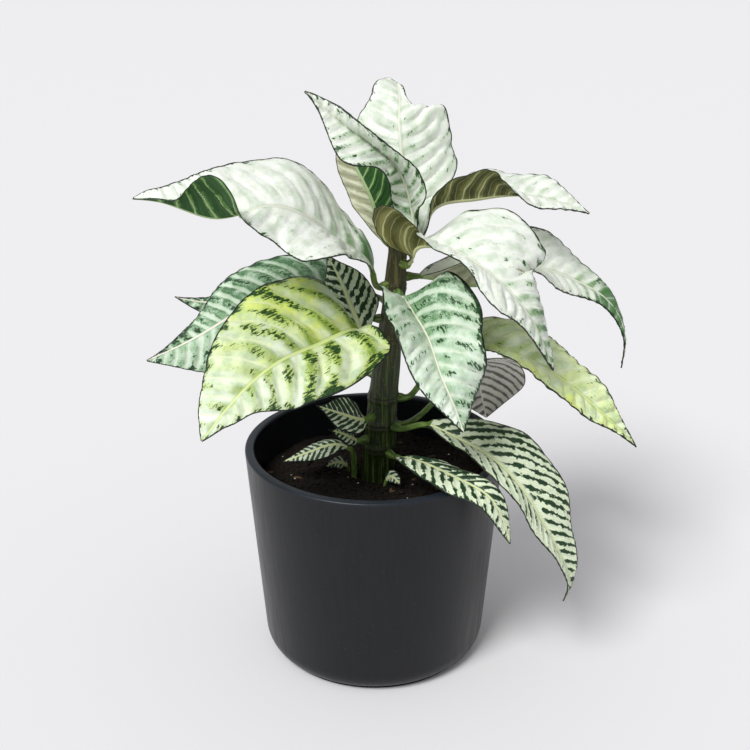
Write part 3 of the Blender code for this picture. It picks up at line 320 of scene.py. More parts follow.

# How each leaf is coloured. tissue names its upper finish and under its lower one. gap is the spacing of the
# side veins in mm. left and right say how each half is dressed, at even steps from base to tip, as (wash,
# flecks): how green the soft wash between the veins is and how much of it carries dark flecks. On a zebra
# leaf the first number is the share without green. warm is the share of yellow, for each half.
# green_and_shade_under is how much of each half's under side takes the dark green look: green tissue, and
# painted shade where a half hangs in shadow. band is the width of the dark margin in mm. sweep is how
# steeply the side veins run towards the tip.
PAINT = {
    "leaf_left_high": dict(
        tissue="white", under="pale", gap=12.5, green_and_shade_under=(1, 1), band=(0.7, 0.7),
        left=[(1, 0.6), (0.5, 0.2), (0.12, 0.35), (0.1, 0.35), (0.2, 0.2), (0.35, 0.35), (0.2, 0.3),
              (0.1, 0)],
        right=[(1, 1), (0.85, 0.6), (0.3, 0.15), (0.15, 0.05), (0.08, 0.1), (0.05, 0.15), (0.06, 0.25),
               (0.08, 0.2),
               (0.05, 0)]),
    "leaf_crown_left": dict(
        tissue="white", under="pale", gap=9, green_and_shade_under=(1, 1), band=(0.4, 0.6),
        left=[(0.8, 0.8), (0.8, 0.8), (0.75, 0.8), (0.7, 0.7), (0.4, 0.6), (0.15, 0.4), (0.1, 0.2)],
        right=[(0.8, 0.8), (0.8, 0.8), (0.75, 0.8), (0.7, 0.7), (0.35, 0.6), (0.1, 0.4), (0.1, 0.2)]),
    "leaf_crown_far_left": dict(
        tissue="white", under="pale", gap=8, green_and_shade_under=(1, 0), band=(0.4, 0.4),
        left=[(0.5, 0.5), (0.2, 0.3)], right=[(0.5, 0.5), (0.3, 0.4)]),
    "leaf_crown_back": dict(
        tissue="white", under="pale", gap=10, green_and_shade_under=(0, 0), band=(0.5, 0.5),
        left=[(0.5, 0.3), (0.25, 0.2), (0.25, 0.25), (0.15, 0.05), (0.1, 0)],
        right=[(0.6, 0.4), (0.4, 0.3), (0.35, 0.6), (0.15, 0.1), (0.1, 0)]),
    "leaf_crown_right": dict(
        tissue="white", under="olive", gap=10, green_and_shade_under=(0.5, 0.5), band=(0.4, 0.6),
        left=[(0.5, 0.3), (0.15, 0.1), (0.08, 0.2), (0.25, 0.45), (0.05, 0)],
        right=[(0.5, 0.3), (0.2, 0.2), (0.06, 0.1), (0.04, 0)]),
    "leaf_right_high": dict(
        tissue="white", under="olive", gap=11.5, green_and_shade_under=(0.3, 0.3), band=(0.8, 0.6),
        left=[(0.4, 0.2), (0.1, 0.15), (0.14, 0.7), (0.1, 0.3), (0.15, 0.6), (0.25, 0.8), (0.85, 0.7),
              (0.87, 0.5),
              (0.9, 0.3)],
        right=[(0.5, 0.3), (0.15, 0.4), (0.06, 0.3), (0.05, 0.1), (0.05, 0.1), (0.06, 0.15), (0.3, 0.3),
               (0.85, 0.3),
               (0.9, 0.2)]),
    "leaf_right_back": dict(
        tissue="white", under="pale", gap=10, green_and_shade_under=(0.1, 0.1), band=(0.9, 0.9),
        left=[(0.5, 0.3), (0.2, 0.2), (0.12, 0.2), (0.15, 0.3), (0.3, 0.2), (1, 1), (1, 1), (1, 1)],
        right=[(0.5, 0.3), (0.3, 0.2), (0.15, 0.1), (0.1, 0.1), (0.2, 0.2), (1, 1), (1, 1), (1, 1)]),
    "leaf_front": dict(
        tissue="mint", under="pale", gap=10.5, green_and_shade_under=(0.6, 0.3), band=(1.7, 0.7),
        left=[(0.9, 0.9), (0.85, 0.9), (0.6, 0.85), (0.38, 0.8), (0.3, 0.8), (0.5, 0.6)],
        right=[(0.5, 0.6), (0.22, 0.7), (0.15, 0.55), (0.12, 0.5), (0.1, 0.3), (0.05, 0)]),
    "leaf_left_front": dict(
        tissue="spring", under="pale", gap=14.5, green_and_shade_under=(0.6, 0.6), band=(0.6, 0.5),
        left=[(0.85, 0.95), (0.8, 1), (0.7, 1), (0.6, 0.85), (0.4, 0.7), (0.25, 0.5), (0.1, 0.1)],
        right=[(0.8, 0.6), (0.85, 0.5), (0.7, 0.9), (0.45, 0.9), (0.35, 0.6), (0.3, 0.6), (0.15, 0.2)],
        warm=([0.5, 0.6, 0.4, 0.2, 0.1, 0], [0.6, 1, 1, 0.7, 0.15, 0])),
    "leaf_left_middle": dict(
        tissue="mint", under="pale", gap=10, green_and_shade_under=(0.7, 0.7), band=(0.8, 1.0),
        left=[(0.86, 0.7), (0.75, 0.8), (0.6, 0.8), (0.5, 0.7)],
        right=[(0.95, 0.9), (0.93, 0.9), (0.9, 0.9), (0.8, 0.9), (0.7, 0.8)]),
    "leaf_left_back": dict(
        tissue="mint", under="pale", gap=9.5, green_and_shade_under=(0.7, 0.7), band=(0.8, 0.8),
        left=[(0.9, 0.8), (0.8, 0.7), (0.7, 0.6)], right=[(0.9, 0.8), (0.85, 0.7), (0.7, 0.6)]),
    "leaf_left_inner": dict(
        tissue="zebra", under="pale", gap=6.6, green_and_shade_under=(0.8, 0.8), band=(0.5, 0.5), sweep=0.7,
        left=[(0.36, 1), (0.38, 1), (0.4, 1)], right=[(0.36, 1), (0.38, 1), (0.42, 1)]),
    "leaf_right_middle": dict(
        tissue="spring", under="pale", gap=11, green_and_shade_under=(0.5, 0.5), band=(0.6, 0.6),
        left=[(0.85, 0.3), (0.6, 0.3), (0.35, 0.25), (0.2, 0.3), (0.12, 0.25), (0.1, 0.1)],
        right=[(0.6, 0.2), (0.3, 0.15), (0.12, 0.2), (0.1, 0.2), (0.1, 0.1)],
        warm=([0.2, 0.4, 0.6, 0.5], [0.6, 0.9, 0.9, 0.5])),
    "leaf_right_inner": dict(
        tissue="zebra", under="striped", gap=8.5, green_and_shade_under=(0.8, 0.8), band=(0.6, 0.6),
        left=[(0.35, 1), (0.35, 1)], right=[(0.35, 1), (0.35, 1)]),
    "leaf_right_low": dict(
        tissue="zebra", under="pale", gap=8.5, green_and_shade_under=(0.8, 0.6), band=(0.9, 0.6), sweep=1.0,
        left=[(0.34, 1), (0.42, 1), (0.5, 1), (0.55, 1)], right=[(0.55, 1), (0.72, 1), (0.8, 1),
              (0.85, 1)]),
    "leaf_right_small": dict(
        tissue="zebra", under="pale", gap=8.2, green_and_shade_under=(0.8, 0.8), band=(0.4, 1.0), sweep=0.95,
        left=[(0.08, 1), (0.12, 1), (0.3, 1), (0.9, 1)], right=[(0.42, 1), (0.46, 1), (0.55, 1),
              (0.95, 1)]),
    "leaf_back_low": dict(
        tissue="zebra", under="pale", gap=8.5, green_and_shade_under=(0.7, 0.7), band=(0.6, 0.6),
        left=[(0.45, 1), (0.5, 1)], right=[(0.45, 1), (0.5, 1)]),
    "leaf_back_right": dict(
        tissue="zebra", under="pale", gap=8.5, green_and_shade_under=(0.7, 0.7), band=(0.6, 0.6),
        left=[(0.45, 1), (0.5, 1)], right=[(0.45, 1), (0.5, 1)]),
    "leaf_small_left": dict(
        tissue="zebra", under="pale", gap=4.2, green_and_shade_under=(0.9, 0.9), band=(0.3, 0.5), sweep=0.85,
        left=[(0.32, 1), (0.34, 1)], right=[(0, 1), (0, 1), (0.06, 1)]),
    "leaf_small_low": dict(
        tissue="zebra", under="pale", gap=3.6, green_and_shade_under=(0.9, 0.9), band=(0.3, 0.3),
        left=[(0.25, 1), (0.25, 1)], right=[(0.25, 1), (0.25, 1)]),
    "leaf_soil_left": dict(
        tissue="zebra", under="pale", gap=4.2, green_and_shade_under=(0.9, 0.9), band=(0.3, 0.3),
        left=[(0.35, 1), (0.35, 1)], right=[(0.35, 1), (0.35, 1)]),
    "sprout_left": dict(
        tissue="zebra", under="pale", gap=3, green_and_shade_under=(0.9, 0.9), band=(0.2, 0.2),
        left=[(0.4, 1), (0.4, 1)], right=[(0.4, 1), (0.4, 1)]),
    "sprout_front": dict(
        tissue="zebra", under="pale", gap=3, green_and_shade_under=(0.9, 0.9), band=(0.2, 0.2),
        left=[(0.4, 1), (0.4, 1)], right=[(0.4, 1), (0.4, 1)]),
}


# Materials

# Settings that many nodes share
TIMES = {"operation": "MULTIPLY"}
PLUS = {"operation": "ADD"}
MINUS = {"operation": "SUBTRACT"}
SMOOTH = {"interpolation_type": "SMOOTHSTEP"}
COLOURS = {"data_type": "RGBA"}
# How light goes a little way into a blade, and comes out greener
LEAF_FLESH = {"Subsurface Weight": 0.1, "Subsurface Radius": (0.9, 1.0, 0.45), "Subsurface Scale": 0.0008}


def linear(code):
    """An sRGB hex colour as linear values."""
    parts = [int(code[i:i + 2], 16) / 255 for i in (1, 3, 5)]
    return [p / 12.92 if p <= 0.04045 else ((p + 0.055) / 1.055) ** 2.4 for p in parts] + [1.0]


def feed(node, inputs):
    """Gives each input of a node its plain value, its hex colour, or the link it takes."""
    for socket, value in inputs.items():
        if isinstance(value, bpy.types.NodeSocket):
            node.id_data.links.new(value, node.inputs[socket])
        elif isinstance(value, str):
            node.inputs[socket].default_value = linear(value)
        else:
            node.inputs[socket].default_value = value


def add(tree, kind, inputs, out=0, **settings):
    """Adds a node with its settings, values and links, and returns the output asked for."""
    node = tree.nodes.new(kind)
    for name, value in settings.items():
        setattr(node, name, value)
    feed(node, inputs)
    return node.outputs[out]


def finish(name):
    """A new material, with its node tree and its shader."""
    made = bpy.data.materials.new(name)
    made.use_nodes = True
    return made, made.node_tree, made.node_tree.nodes["Principled BSDF"]


def leaf_readings(tree):
    """What the leaf meshes carry at each point, for the patterns that follow the veins. between runs from 0
    on a side vein to 0.5 midway, and the veins wander a little: a slow noise, 8 mm from bump to bump."""
    found = {}
    for name, labels in (("place", ("across", "along", "edge")), ("tint", ("warm", "band")),
                         ("dress", ("wash", "fleck", "under")), ("flat", ("x", "y", "seed"))):
        found[name] = add(tree, "ShaderNodeAttribute", {}, "Vector", attribute_name=name)
        parts = add(tree, "ShaderNodeSeparateXYZ", {0: found[name]}).node.outputs
        found.update(zip(labels, parts))
    straight = add(tree, "ShaderNodeAttribute", {}, "Fac", attribute_name="vein")
    wander = add(tree, "ShaderNodeTexNoise", {"Vector": found["flat"], "Scale": 0.12, "Detail": 2.0})
    shift = add(tree, "ShaderNodeMapRange", {0: wander, 3: -0.1, 4: 0.1})
    phase = add(tree, "ShaderNodeMath", {0: straight, 1: shift}, **PLUS)
    found["phase"] = phase
    found["between"] = add(tree, "ShaderNodeMath", {0: phase, 1: 0.5}, operation="PINGPONG")
    found["reach"] = add(tree, "ShaderNodeMath", {0: found["y"]}, operation="ABSOLUTE")
    # strokes across each row of green, about 1 mm apart and 3 mm long
    stretched = add(tree, "ShaderNodeMath", {0: phase, 1: 3.2}, **TIMES)
    stroke_at = add(tree, "ShaderNodeCombineXYZ", {0: stretched, 1: found["y"], 2: found["seed"]})
    found["combed"] = add(tree, "ShaderNodeTexNoise", {"Vector": stroke_at, "Scale": 0.95, "Detail": 3.0,
                                                       "Roughness": 0.65})
    # the finest veins, a net with meshes of about 1.1 mm
    stretched = add(tree, "ShaderNodeMath", {0: phase, 1: 8.0}, **TIMES)
    net_at = add(tree, "ShaderNodeCombineXYZ", {0: stretched, 1: found["y"], 2: found["seed"]})
    found["net"] = add(tree, "ShaderNodeTexVoronoi", {"Vector": net_at, "Scale": 0.9}, "Distance",
                       feature="DISTANCE_TO_EDGE")
    return found


def vein_lines(tree, read, at_rib, at_margin, outer, inner, strength):
    """How much of a side vein's colour a point takes. The line has one half width at the midrib and a smaller
    one at the margin, in shares of the gap between two veins, and fades from outer to inner."""
    wide = add(tree, "ShaderNodeMapRange", {0: read["across"], 3: at_rib, 4: at_margin})
    past = add(tree, "ShaderNodeMath", {0: read["between"], 1: wide}, **MINUS)
    return add(tree, "ShaderNodeMapRange", {0: past, 1: outer, 2: inner, 3: 0.0, 4: strength}, **SMOOTH)


def past_midrib(tree, read, at_foot, at_tip):
    """How far a point lies past the side of the midrib, mm, for its half width at the foot and at the tip."""
    half = add(tree, "ShaderNodeMapRange", {0: read["along"], 3: at_foot, 4: at_tip})
    return add(tree, "ShaderNodeMath", {0: read["reach"], 1: half}, **MINUS)


def leaf_skin(tree, shader, read, colour, leafage, mid, rib):
    """What every upper side has over its pattern: the dark ragged margin, the pale midrib and the thin dark
    rim, on a waxy skin whose soft gloss varies a little, the finest net standing up by about 0.05 mm."""
    ragged = add(tree, "ShaderNodeMapRange", {0: read["combed"], 1: 0.35, 2: 0.65, 3: 0.1, 4: 1.7})
    band = add(tree, "ShaderNodeMath", {0: ragged, 1: read["band"]}, **TIMES)
    band = add(tree, "ShaderNodeMath", {0: read["edge"], 1: band}, **MINUS)
    band = add(tree, "ShaderNodeMapRange", {0: band, 1: 0.25, 2: -0.15}, **SMOOTH)
    colour = add(tree, "ShaderNodeMix", {0: band, 6: colour, 7: leafage}, 2, **COLOURS)
    # midrib, 2.2 mm wide at the base, with a thin line of painted shade on each side
    past = past_midrib(tree, read, 1.1, 0.25)
    shaded = add(tree, "ShaderNodeMapRange", {0: past, 1: 1.1, 2: 0.2, 3: 0.0, 4: 0.22}, **SMOOTH)
    colour = add(tree, "ShaderNodeMix", {0: shaded, 6: colour, 7: mid}, 2, **COLOURS)
    on_rib = add(tree, "ShaderNodeMapRange", {0: past, 1: 0.15, 2: -0.1}, **SMOOTH)
    colour = add(tree, "ShaderNodeMix", {0: on_rib, 6: colour, 7: rib}, 2, **COLOURS)
    rim = add(tree, "ShaderNodeMapRange", {0: read["combed"], 1: 0.3, 2: 0.7, 3: 0.4, 4: 1.0})
    rim = add(tree, "ShaderNodeMath", {0: read["edge"], 1: rim}, **MINUS)
    rim = add(tree, "ShaderNodeMapRange", {0: rim, 1: 0.15, 2: -0.1}, **SMOOTH)
    colour = add(tree, "ShaderNodeMix", {0: rim, 6: colour, 7: "#101e12"}, 2, **COLOURS)
    gloss = add(tree, "ShaderNodeMapRange", {0: read["combed"], 1: 0.3, 2: 0.7, 3: 0.38, 4: 0.52})
    lift = add(tree, "ShaderNodeMapRange", {0: read["net"], 1: 0.0, 2: 0.3})
    bump = add(tree, "ShaderNodeBump", {"Strength": 0.6, "Distance": 0.0001, "Height": lift}, "Normal")
    feed(shader, {"Base Color": colour, "Roughness": gloss, "Normal": bump, "IOR": 1.45,
                  "Coat Weight": 0.06, "Coat Roughness": 0.35, **LEAF_FLESH})


def leaf_upper(name, pale, hollow_shade, warm, wash, deep, groove, mid, dark, vein, rib, spread, rows):
    """Upper side of a variegated leaf. Cells without chlorophyll read cream to white, a soft green wash lies
    between the side veins, and dark green is left in clusters of short strokes midway between them. spread is
    where the wash starts and is full, from 0 on a vein to 0.5 midway; rows is how high the slow noise stands
    where strokes start and where they are at their longest."""
    made, tree, shader = finish(name)
    read = leaf_readings(tree)
    between = read["between"]
    slow = add(tree, "ShaderNodeTexNoise", {"Vector": read["flat"], "Scale": 0.07, "Detail": 3.0})
    patch = add(tree, "ShaderNodeTexNoise", {"Vector": read["flat"], "Scale": 0.16, "Detail": 4.0,
                                             "Roughness": 0.6})
    # tissue, yellow in slow clouds where the leaf is warm, and greyed in other clouds with the hollow colour,
    # a painted shade
    yellow = add(tree, "ShaderNodeMapRange", {0: slow, 1: 0.3, 2: 0.58})
    yellow = add(tree, "ShaderNodeMath", {0: yellow, 1: read["warm"]}, **TIMES)
    colour = add(tree, "ShaderNodeMix", {0: yellow, 6: pale, 7: warm}, 2, **COLOURS)
    shade_clouds = add(tree, "ShaderNodeMapRange", {0: patch, 1: 0.4, 2: 0.7, 3: 0.0, 4: 0.8}, **SMOOTH)
    colour = add(tree, "ShaderNodeMix", {0: shade_clouds, 6: colour, 7: hollow_shade}, 2, **COLOURS)
    # the wash, softly bounded, broken by the slow clouds and by the finest veins
    cloud = add(tree, "ShaderNodeMapRange", {0: patch, 1: 0.32, 2: 0.62, 3: 0.55, 4: 1.35})
    net = add(tree, "ShaderNodeMapRange", {0: read["net"], 1: 0.0, 2: 0.18, 3: 0.75, 4: 1.0})
    share = add(tree, "ShaderNodeMapRange", {0: between, 1: spread[0], 2: spread[1]}, **SMOOTH)
    share = add(tree, "ShaderNodeMath", {0: share, 1: read["wash"]}, **TIMES)
    share = add(tree, "ShaderNodeMath", {0: share, 1: cloud}, use_clamp=True, **TIMES)
    share = add(tree, "ShaderNodeMath", {0: share, 1: net}, **TIMES)
    colour = add(tree, "ShaderNodeMix", {0: share, 6: colour, 7: wash}, 2, **COLOURS)
    deeper = add(tree, "ShaderNodeMapRange", {0: share, 1: 0.5, 2: 0.95, 3: 0.0, 4: 0.92}, **SMOOTH)
    colour = add(tree, "ShaderNodeMix", {0: deeper, 6: colour, 7: deep}, 2, **COLOURS)
    # wedges of olive run out from the midrib between the veins: part green tissue, part painted shade beside
    # the sunken midrib
    near_rib = add(tree, "ShaderNodeMapRange", {0: read["across"], 1: 0.42, 2: 0.06}, **SMOOTH)
    off_vein = add(tree, "ShaderNodeMapRange", {0: between, 1: 0.12, 2: 0.4}, **SMOOTH)
    olive_and_shade_wedge = add(tree, "ShaderNodeMath", {0: near_rib, 1: off_vein}, **TIMES)
    olive_and_shade_wedge = add(tree, "ShaderNodeMath", {0: olive_and_shade_wedge, 1: read["wash"]}, **TIMES)
    olive_and_shade_wedge = add(tree, "ShaderNodeMath", {0: olive_and_shade_wedge, 1: cloud}, use_clamp=True, **TIMES)
    colour = add(tree, "ShaderNodeMix", {0: olive_and_shade_wedge, 6: colour, 7: groove}, 2, **COLOURS)
    # side veins: soft, broad at the midrib and narrower at the margin, greener where the wash is strong
    line = vein_lines(tree, read, 0.05, 0.015, 0.05, -0.02, 0.7)
    greener = add(tree, "ShaderNodeMath", {0: read["wash"], 1: 0.5}, **TIMES)
    vein_colour = add(tree, "ShaderNodeMix", {0: greener, 6: vein, 7: wash}, 2, **COLOURS)
    colour = add(tree, "ShaderNodeMix", {0: line, 6: colour, 7: vein_colour}, 2, **COLOURS)
    # strokes in clusters 5 to 12 mm long, feathered, in a halo of the wash with fine specks in it
    cluster = add(tree, "ShaderNodeTexNoise", {"Vector": read["flat"], "Scale": 0.13, "Detail": 2.0})
    cluster = add(tree, "ShaderNodeMapRange", {0: cluster, 1: rows[0], 2: rows[1], 3: -0.05, 4: 0.47})
    fleck = add(tree, "ShaderNodeMath", {0: cluster, 1: read["fleck"]}, **TIMES)
    margin = add(tree, "ShaderNodeMapRange", {0: read["edge"], 1: 4.5, 2: 1.0, 3: 0.0, 4: 0.26}, **SMOOTH)
    fleck = add(tree, "ShaderNodeMath", {0: fleck, 1: margin}, **PLUS)
    ragged = add(tree, "ShaderNodeMapRange", {0: read["combed"], 1: 0.36, 2: 0.64, 3: -0.3, 4: 0.18})
    row = add(tree, "ShaderNodeMath", {0: between, 1: fleck}, **PLUS)
    halo = add(tree, "ShaderNodeMapRange", {0: row, 1: 0.42, 2: 0.75, 3: 0.0, 4: 0.8}, **SMOOTH)
    halo = add(tree, "ShaderNodeMath", {0: halo, 1: read["fleck"]}, **TIMES)
    row = add(tree, "ShaderNodeMath", {0: row, 1: ragged}, **PLUS)
    row = add(tree, "ShaderNodeMapRange", {0: row, 1: 0.68, 2: 0.72}, **SMOOTH)
    speck = add(tree, "ShaderNodeTexNoise", {"Vector": read["flat"], "Scale": 0.85, "Detail": 1.0})
    speck = add(tree, "ShaderNodeMapRange", {0: speck, 1: 0.6, 2: 0.64}, **SMOOTH)
    speck = add(tree, "ShaderNodeMath", {0: speck, 1: halo}, **TIMES)
    row = add(tree, "ShaderNodeMath", {0: row, 1: speck}, operation="MAXIMUM")
    clear_rib = add(tree, "ShaderNodeMapRange", {0: read["across"], 1: 0.04, 2: 0.12}, **SMOOTH)
    row = add(tree, "ShaderNodeMath", {0: row, 1: clear_rib}, **TIMES)
    cell = add(tree, "ShaderNodeMapRange", {0: read["net"], 1: 0.0, 2: 0.16, 3: 0.35, 4: 1.0})
    leafage = add(tree, "ShaderNodeMix", {0: cell, 6: mid, 7: dark}, 2, **COLOURS)
    colour = add(tree, "ShaderNodeMix", {0: halo, 6: colour, 7: wash}, 2, **COLOURS)
    colour = add(tree, "ShaderNodeMix", {0: row, 6: colour, 7: leafage}, 2, **COLOURS)
    # solid green where the wash is full, as at the tips and feet of some leaves
    solid = add(tree, "ShaderNodeMapRange", {0: read["wash"], 1: 0.88, 2: 0.98, 3: 0.0, 4: 0.9}, **SMOOTH)
    open_vein = add(tree, "ShaderNodeMapRange", {0: between, 1: 0.02, 2: 0.12, 3: 0.6, 4: 1.0}, **SMOOTH)
    solid = add(tree, "ShaderNodeMath", {0: solid, 1: open_vein}, **TIMES)
    green = add(tree, "ShaderNodeMix", {0: cloud, 6: deep, 7: mid}, 2, **COLOURS)
    colour = add(tree, "ShaderNodeMix", {0: solid, 6: colour, 7: green}, 2, **COLOURS)
    leaf_skin(tree, shader, read, colour, leafage, mid, rib)
    return made


def zebra_upper(name, pale, hollow_shade, mid, dark, vein, rib):
    """Upper side of a green striped leaf: dark green blocks, netted with finer veins, between pale bands that
    follow the side veins."""
    made, tree, shader = finish(name)
    read = leaf_readings(tree)
    between = read["between"]
    patch = add(tree, "ShaderNodeTexNoise", {"Vector": read["flat"], "Scale": 0.3, "Detail": 2.0,
                                             "Roughness": 0.5})
    # green tissue starts this far from a vein, in shares of the gap between two veins
    start = add(tree, "ShaderNodeMath", {0: read["wash"], 1: 0.5, 2: 0.04}, operation="MULTIPLY_ADD")
    ragged = add(tree, "ShaderNodeMapRange", {0: read["combed"], 1: 0.3, 2: 0.7, 3: -0.11, 4: 0.11})
    patched = add(tree, "ShaderNodeMapRange", {0: patch, 1: 0.3, 2: 0.7, 3: -0.2, 4: 0.17})
    inner = add(tree, "ShaderNodeMath", {0: between, 1: start}, **MINUS)
    inner = add(tree, "ShaderNodeMath", {0: inner, 1: ragged}, **PLUS)
    inner = add(tree, "ShaderNodeMath", {0: inner, 1: patched}, **PLUS)
    green = add(tree, "ShaderNodeMapRange", {0: inner, 1: -0.03, 2: 0.04}, **SMOOTH)
    clear_rib = add(tree, "ShaderNodeMapRange", {0: read["across"], 1: 0.04, 2: 0.12}, **SMOOTH)
    green = add(tree, "ShaderNodeMath", {0: green, 1: clear_rib}, **TIMES)
    # painted shade: duller clouds of the hollow colour close to the veins, where the quilted blade sinks
    shade_clouds = add(tree, "ShaderNodeMapRange", {0: patch, 1: 0.4, 2: 0.7, 3: 0.2, 4: 1.0})
    near = add(tree, "ShaderNodeMapRange", {0: between, 1: 0.24, 2: 0.1, 3: 0.0, 4: 0.7}, **SMOOTH)
    near = add(tree, "ShaderNodeMath", {0: near, 1: shade_clouds}, **TIMES)
    tissue = add(tree, "ShaderNodeMix", {0: near, 6: pale, 7: hollow_shade}, 2, **COLOURS)
    cell = add(tree, "ShaderNodeMapRange", {0: read["net"], 1: 0.0, 2: 0.16, 3: 0.3, 4: 1.0})
    deep = add(tree, "ShaderNodeMapRange", {0: inner, 1: 0.0, 2: 0.14, 3: 0.35, 4: 1.0})
    cell = add(tree, "ShaderNodeMath", {0: cell, 1: deep}, **TIMES)
    leafage = add(tree, "ShaderNodeMix", {0: cell, 6: mid, 7: dark}, 2, **COLOURS)
    colour = add(tree, "ShaderNodeMix", {0: green, 6: tissue, 7: leafage}, 2, **COLOURS)
    line = vein_lines(tree, read, 0.06, 0.02, 0.035, 0.0, 0.85)
    colour = add(tree, "ShaderNodeMix", {0: line, 6: colour, 7: vein}, 2, **COLOURS)
    leaf_skin(tree, shader, read, colour, leafage, mid, rib)
    return made


def leaf_under(name, pale, shade, green, light, vein, field_from=0.06, lines=0.12):
    """Under side of a leaf: matt and duller than above, with raised pale veins. Where it takes the dark green
    look, as green tissue and as painted shade on halves that hang in shadow, it shows dark fields with
    lighter bands beside the veins, elsewhere a beige or olive skin that darkens between them."""
    made, tree, shader = finish(name)
    read = leaf_readings(tree)
    patch = add(tree, "ShaderNodeTexNoise", {"Vector": read["flat"], "Scale": 0.3, "Detail": 3.0,
                                             "Roughness": 0.6})
    patched = add(tree, "ShaderNodeMapRange", {0: patch, 1: 0.3, 2: 0.7, 3: -0.1, 4: 0.1})
    midway = add(tree, "ShaderNodeMath", {0: read["between"], 1: patched}, **PLUS)
    darker = add(tree, "ShaderNodeMapRange", {0: midway, 1: 0.08, 2: 0.5}, **SMOOTH)
    plain = add(tree, "ShaderNodeMix", {0: darker, 6: pale, 7: shade}, 2, **COLOURS)
    field = add(tree, "ShaderNodeMapRange", {0: midway, 1: field_from, 2: field_from + 0.14}, **SMOOTH)
    field = add(tree, "ShaderNodeMix", {0: field, 6: light, 7: green}, 2, **COLOURS)
    # the dark green look: green tissue, and painted shade where a half of the under side hangs in shadow
    colour = add(tree, "ShaderNodeMix", {0: read["under"], 6: plain, 7: field}, 2, **COLOURS)
    line = vein_lines(tree, read, 0.035, 0.01, 0.03, 0.0, 0.8)
    colour = add(tree, "ShaderNodeMix", {0: line, 6: colour, 7: vein}, 2, **COLOURS)
    # fine lines, two or three in each gap between side veins
    fine = add(tree, "ShaderNodeMath", {0: read["phase"], 1: 5.0}, **TIMES)
    fine = add(tree, "ShaderNodeMath", {0: fine, 1: 1.0}, operation="PINGPONG")
    fine = add(tree, "ShaderNodeMapRange", {0: fine, 1: 0.16, 2: 0.0, 3: 0.0, 4: lines}, **SMOOTH)
    colour = add(tree, "ShaderNodeMix", {0: fine, 6: colour, 7: vein}, 2, **COLOURS)
    past = past_midrib(tree, read, 1.0, 0.3)
    on_rib = add(tree, "ShaderNodeMapRange", {0: past, 1: 0.2, 2: -0.1}, **SMOOTH)
    colour = add(tree, "ShaderNodeMix", {0: on_rib, 6: colour, 7: vein}, 2, **COLOURS)
    rim = add(tree, "ShaderNodeMapRange", {0: read["edge"], 1: 0.6, 2: 0.35}, **SMOOTH)
    colour = add(tree, "ShaderNodeMix", {0: rim, 6: colour, 7: "#1c2a18"}, 2, **COLOURS)
    raised = add(tree, "ShaderNodeMapRange", {0: read["net"], 1: 0.25, 2: 0.0})
    bump = add(tree, "ShaderNodeBump", {"Strength": 0.6, "Distance": 0.00012, "Height": raised}, "Normal")
    feed(shader, {"Base Color": colour, "Roughness": 0.6, "Normal": bump, "IOR": 1.4, **LEAF_FLESH})
    return made


def leaf_stalk(name, near_blade, near_stem, streak):
    """Leaf stalk: smooth green skin, satin, with fine streaks that run along it."""
    made, tree, shader = finish(name)
    read = leaf_readings(tree)
    long_way = add(tree, "ShaderNodeMath", {0: read["x"], 1: 0.12}, **TIMES)
    streaked = add(tree, "ShaderNodeCombineXYZ", {0: long_way, 1: read["y"], 2: read["seed"]})
    line = add(tree, "ShaderNodeTexNoise", {"Vector": streaked, "Scale": 1.3, "Detail": 3.0})
    climb = add(tree, "ShaderNodeMapRange", {0: read["across"], 1: 0.0, 2: 1.0}, **SMOOTH)
    colour = add(tree, "ShaderNodeMix", {0: climb, 6: near_stem, 7: near_blade}, 2, **COLOURS)
    shown = add(tree, "ShaderNodeMapRange", {0: line, 1: 0.4, 2: 0.65, 3: 0.0, 4: 0.6}, **SMOOTH)
    colour = add(tree, "ShaderNodeMix", {0: shown, 6: colour, 7: streak}, 2, **COLOURS)
    bump = add(tree, "ShaderNodeBump", {"Strength": 0.4, "Distance": 0.0001, "Height": line}, "Normal")
    feed(shader, {"Base Color": colour, "Roughness": 0.44, "Normal": bump, "IOR": 1.4, **LEAF_FLESH,
                  "Subsurface Weight": 0.08, "Subsurface Radius": (0.9, 1.0, 0.4)})
    return made


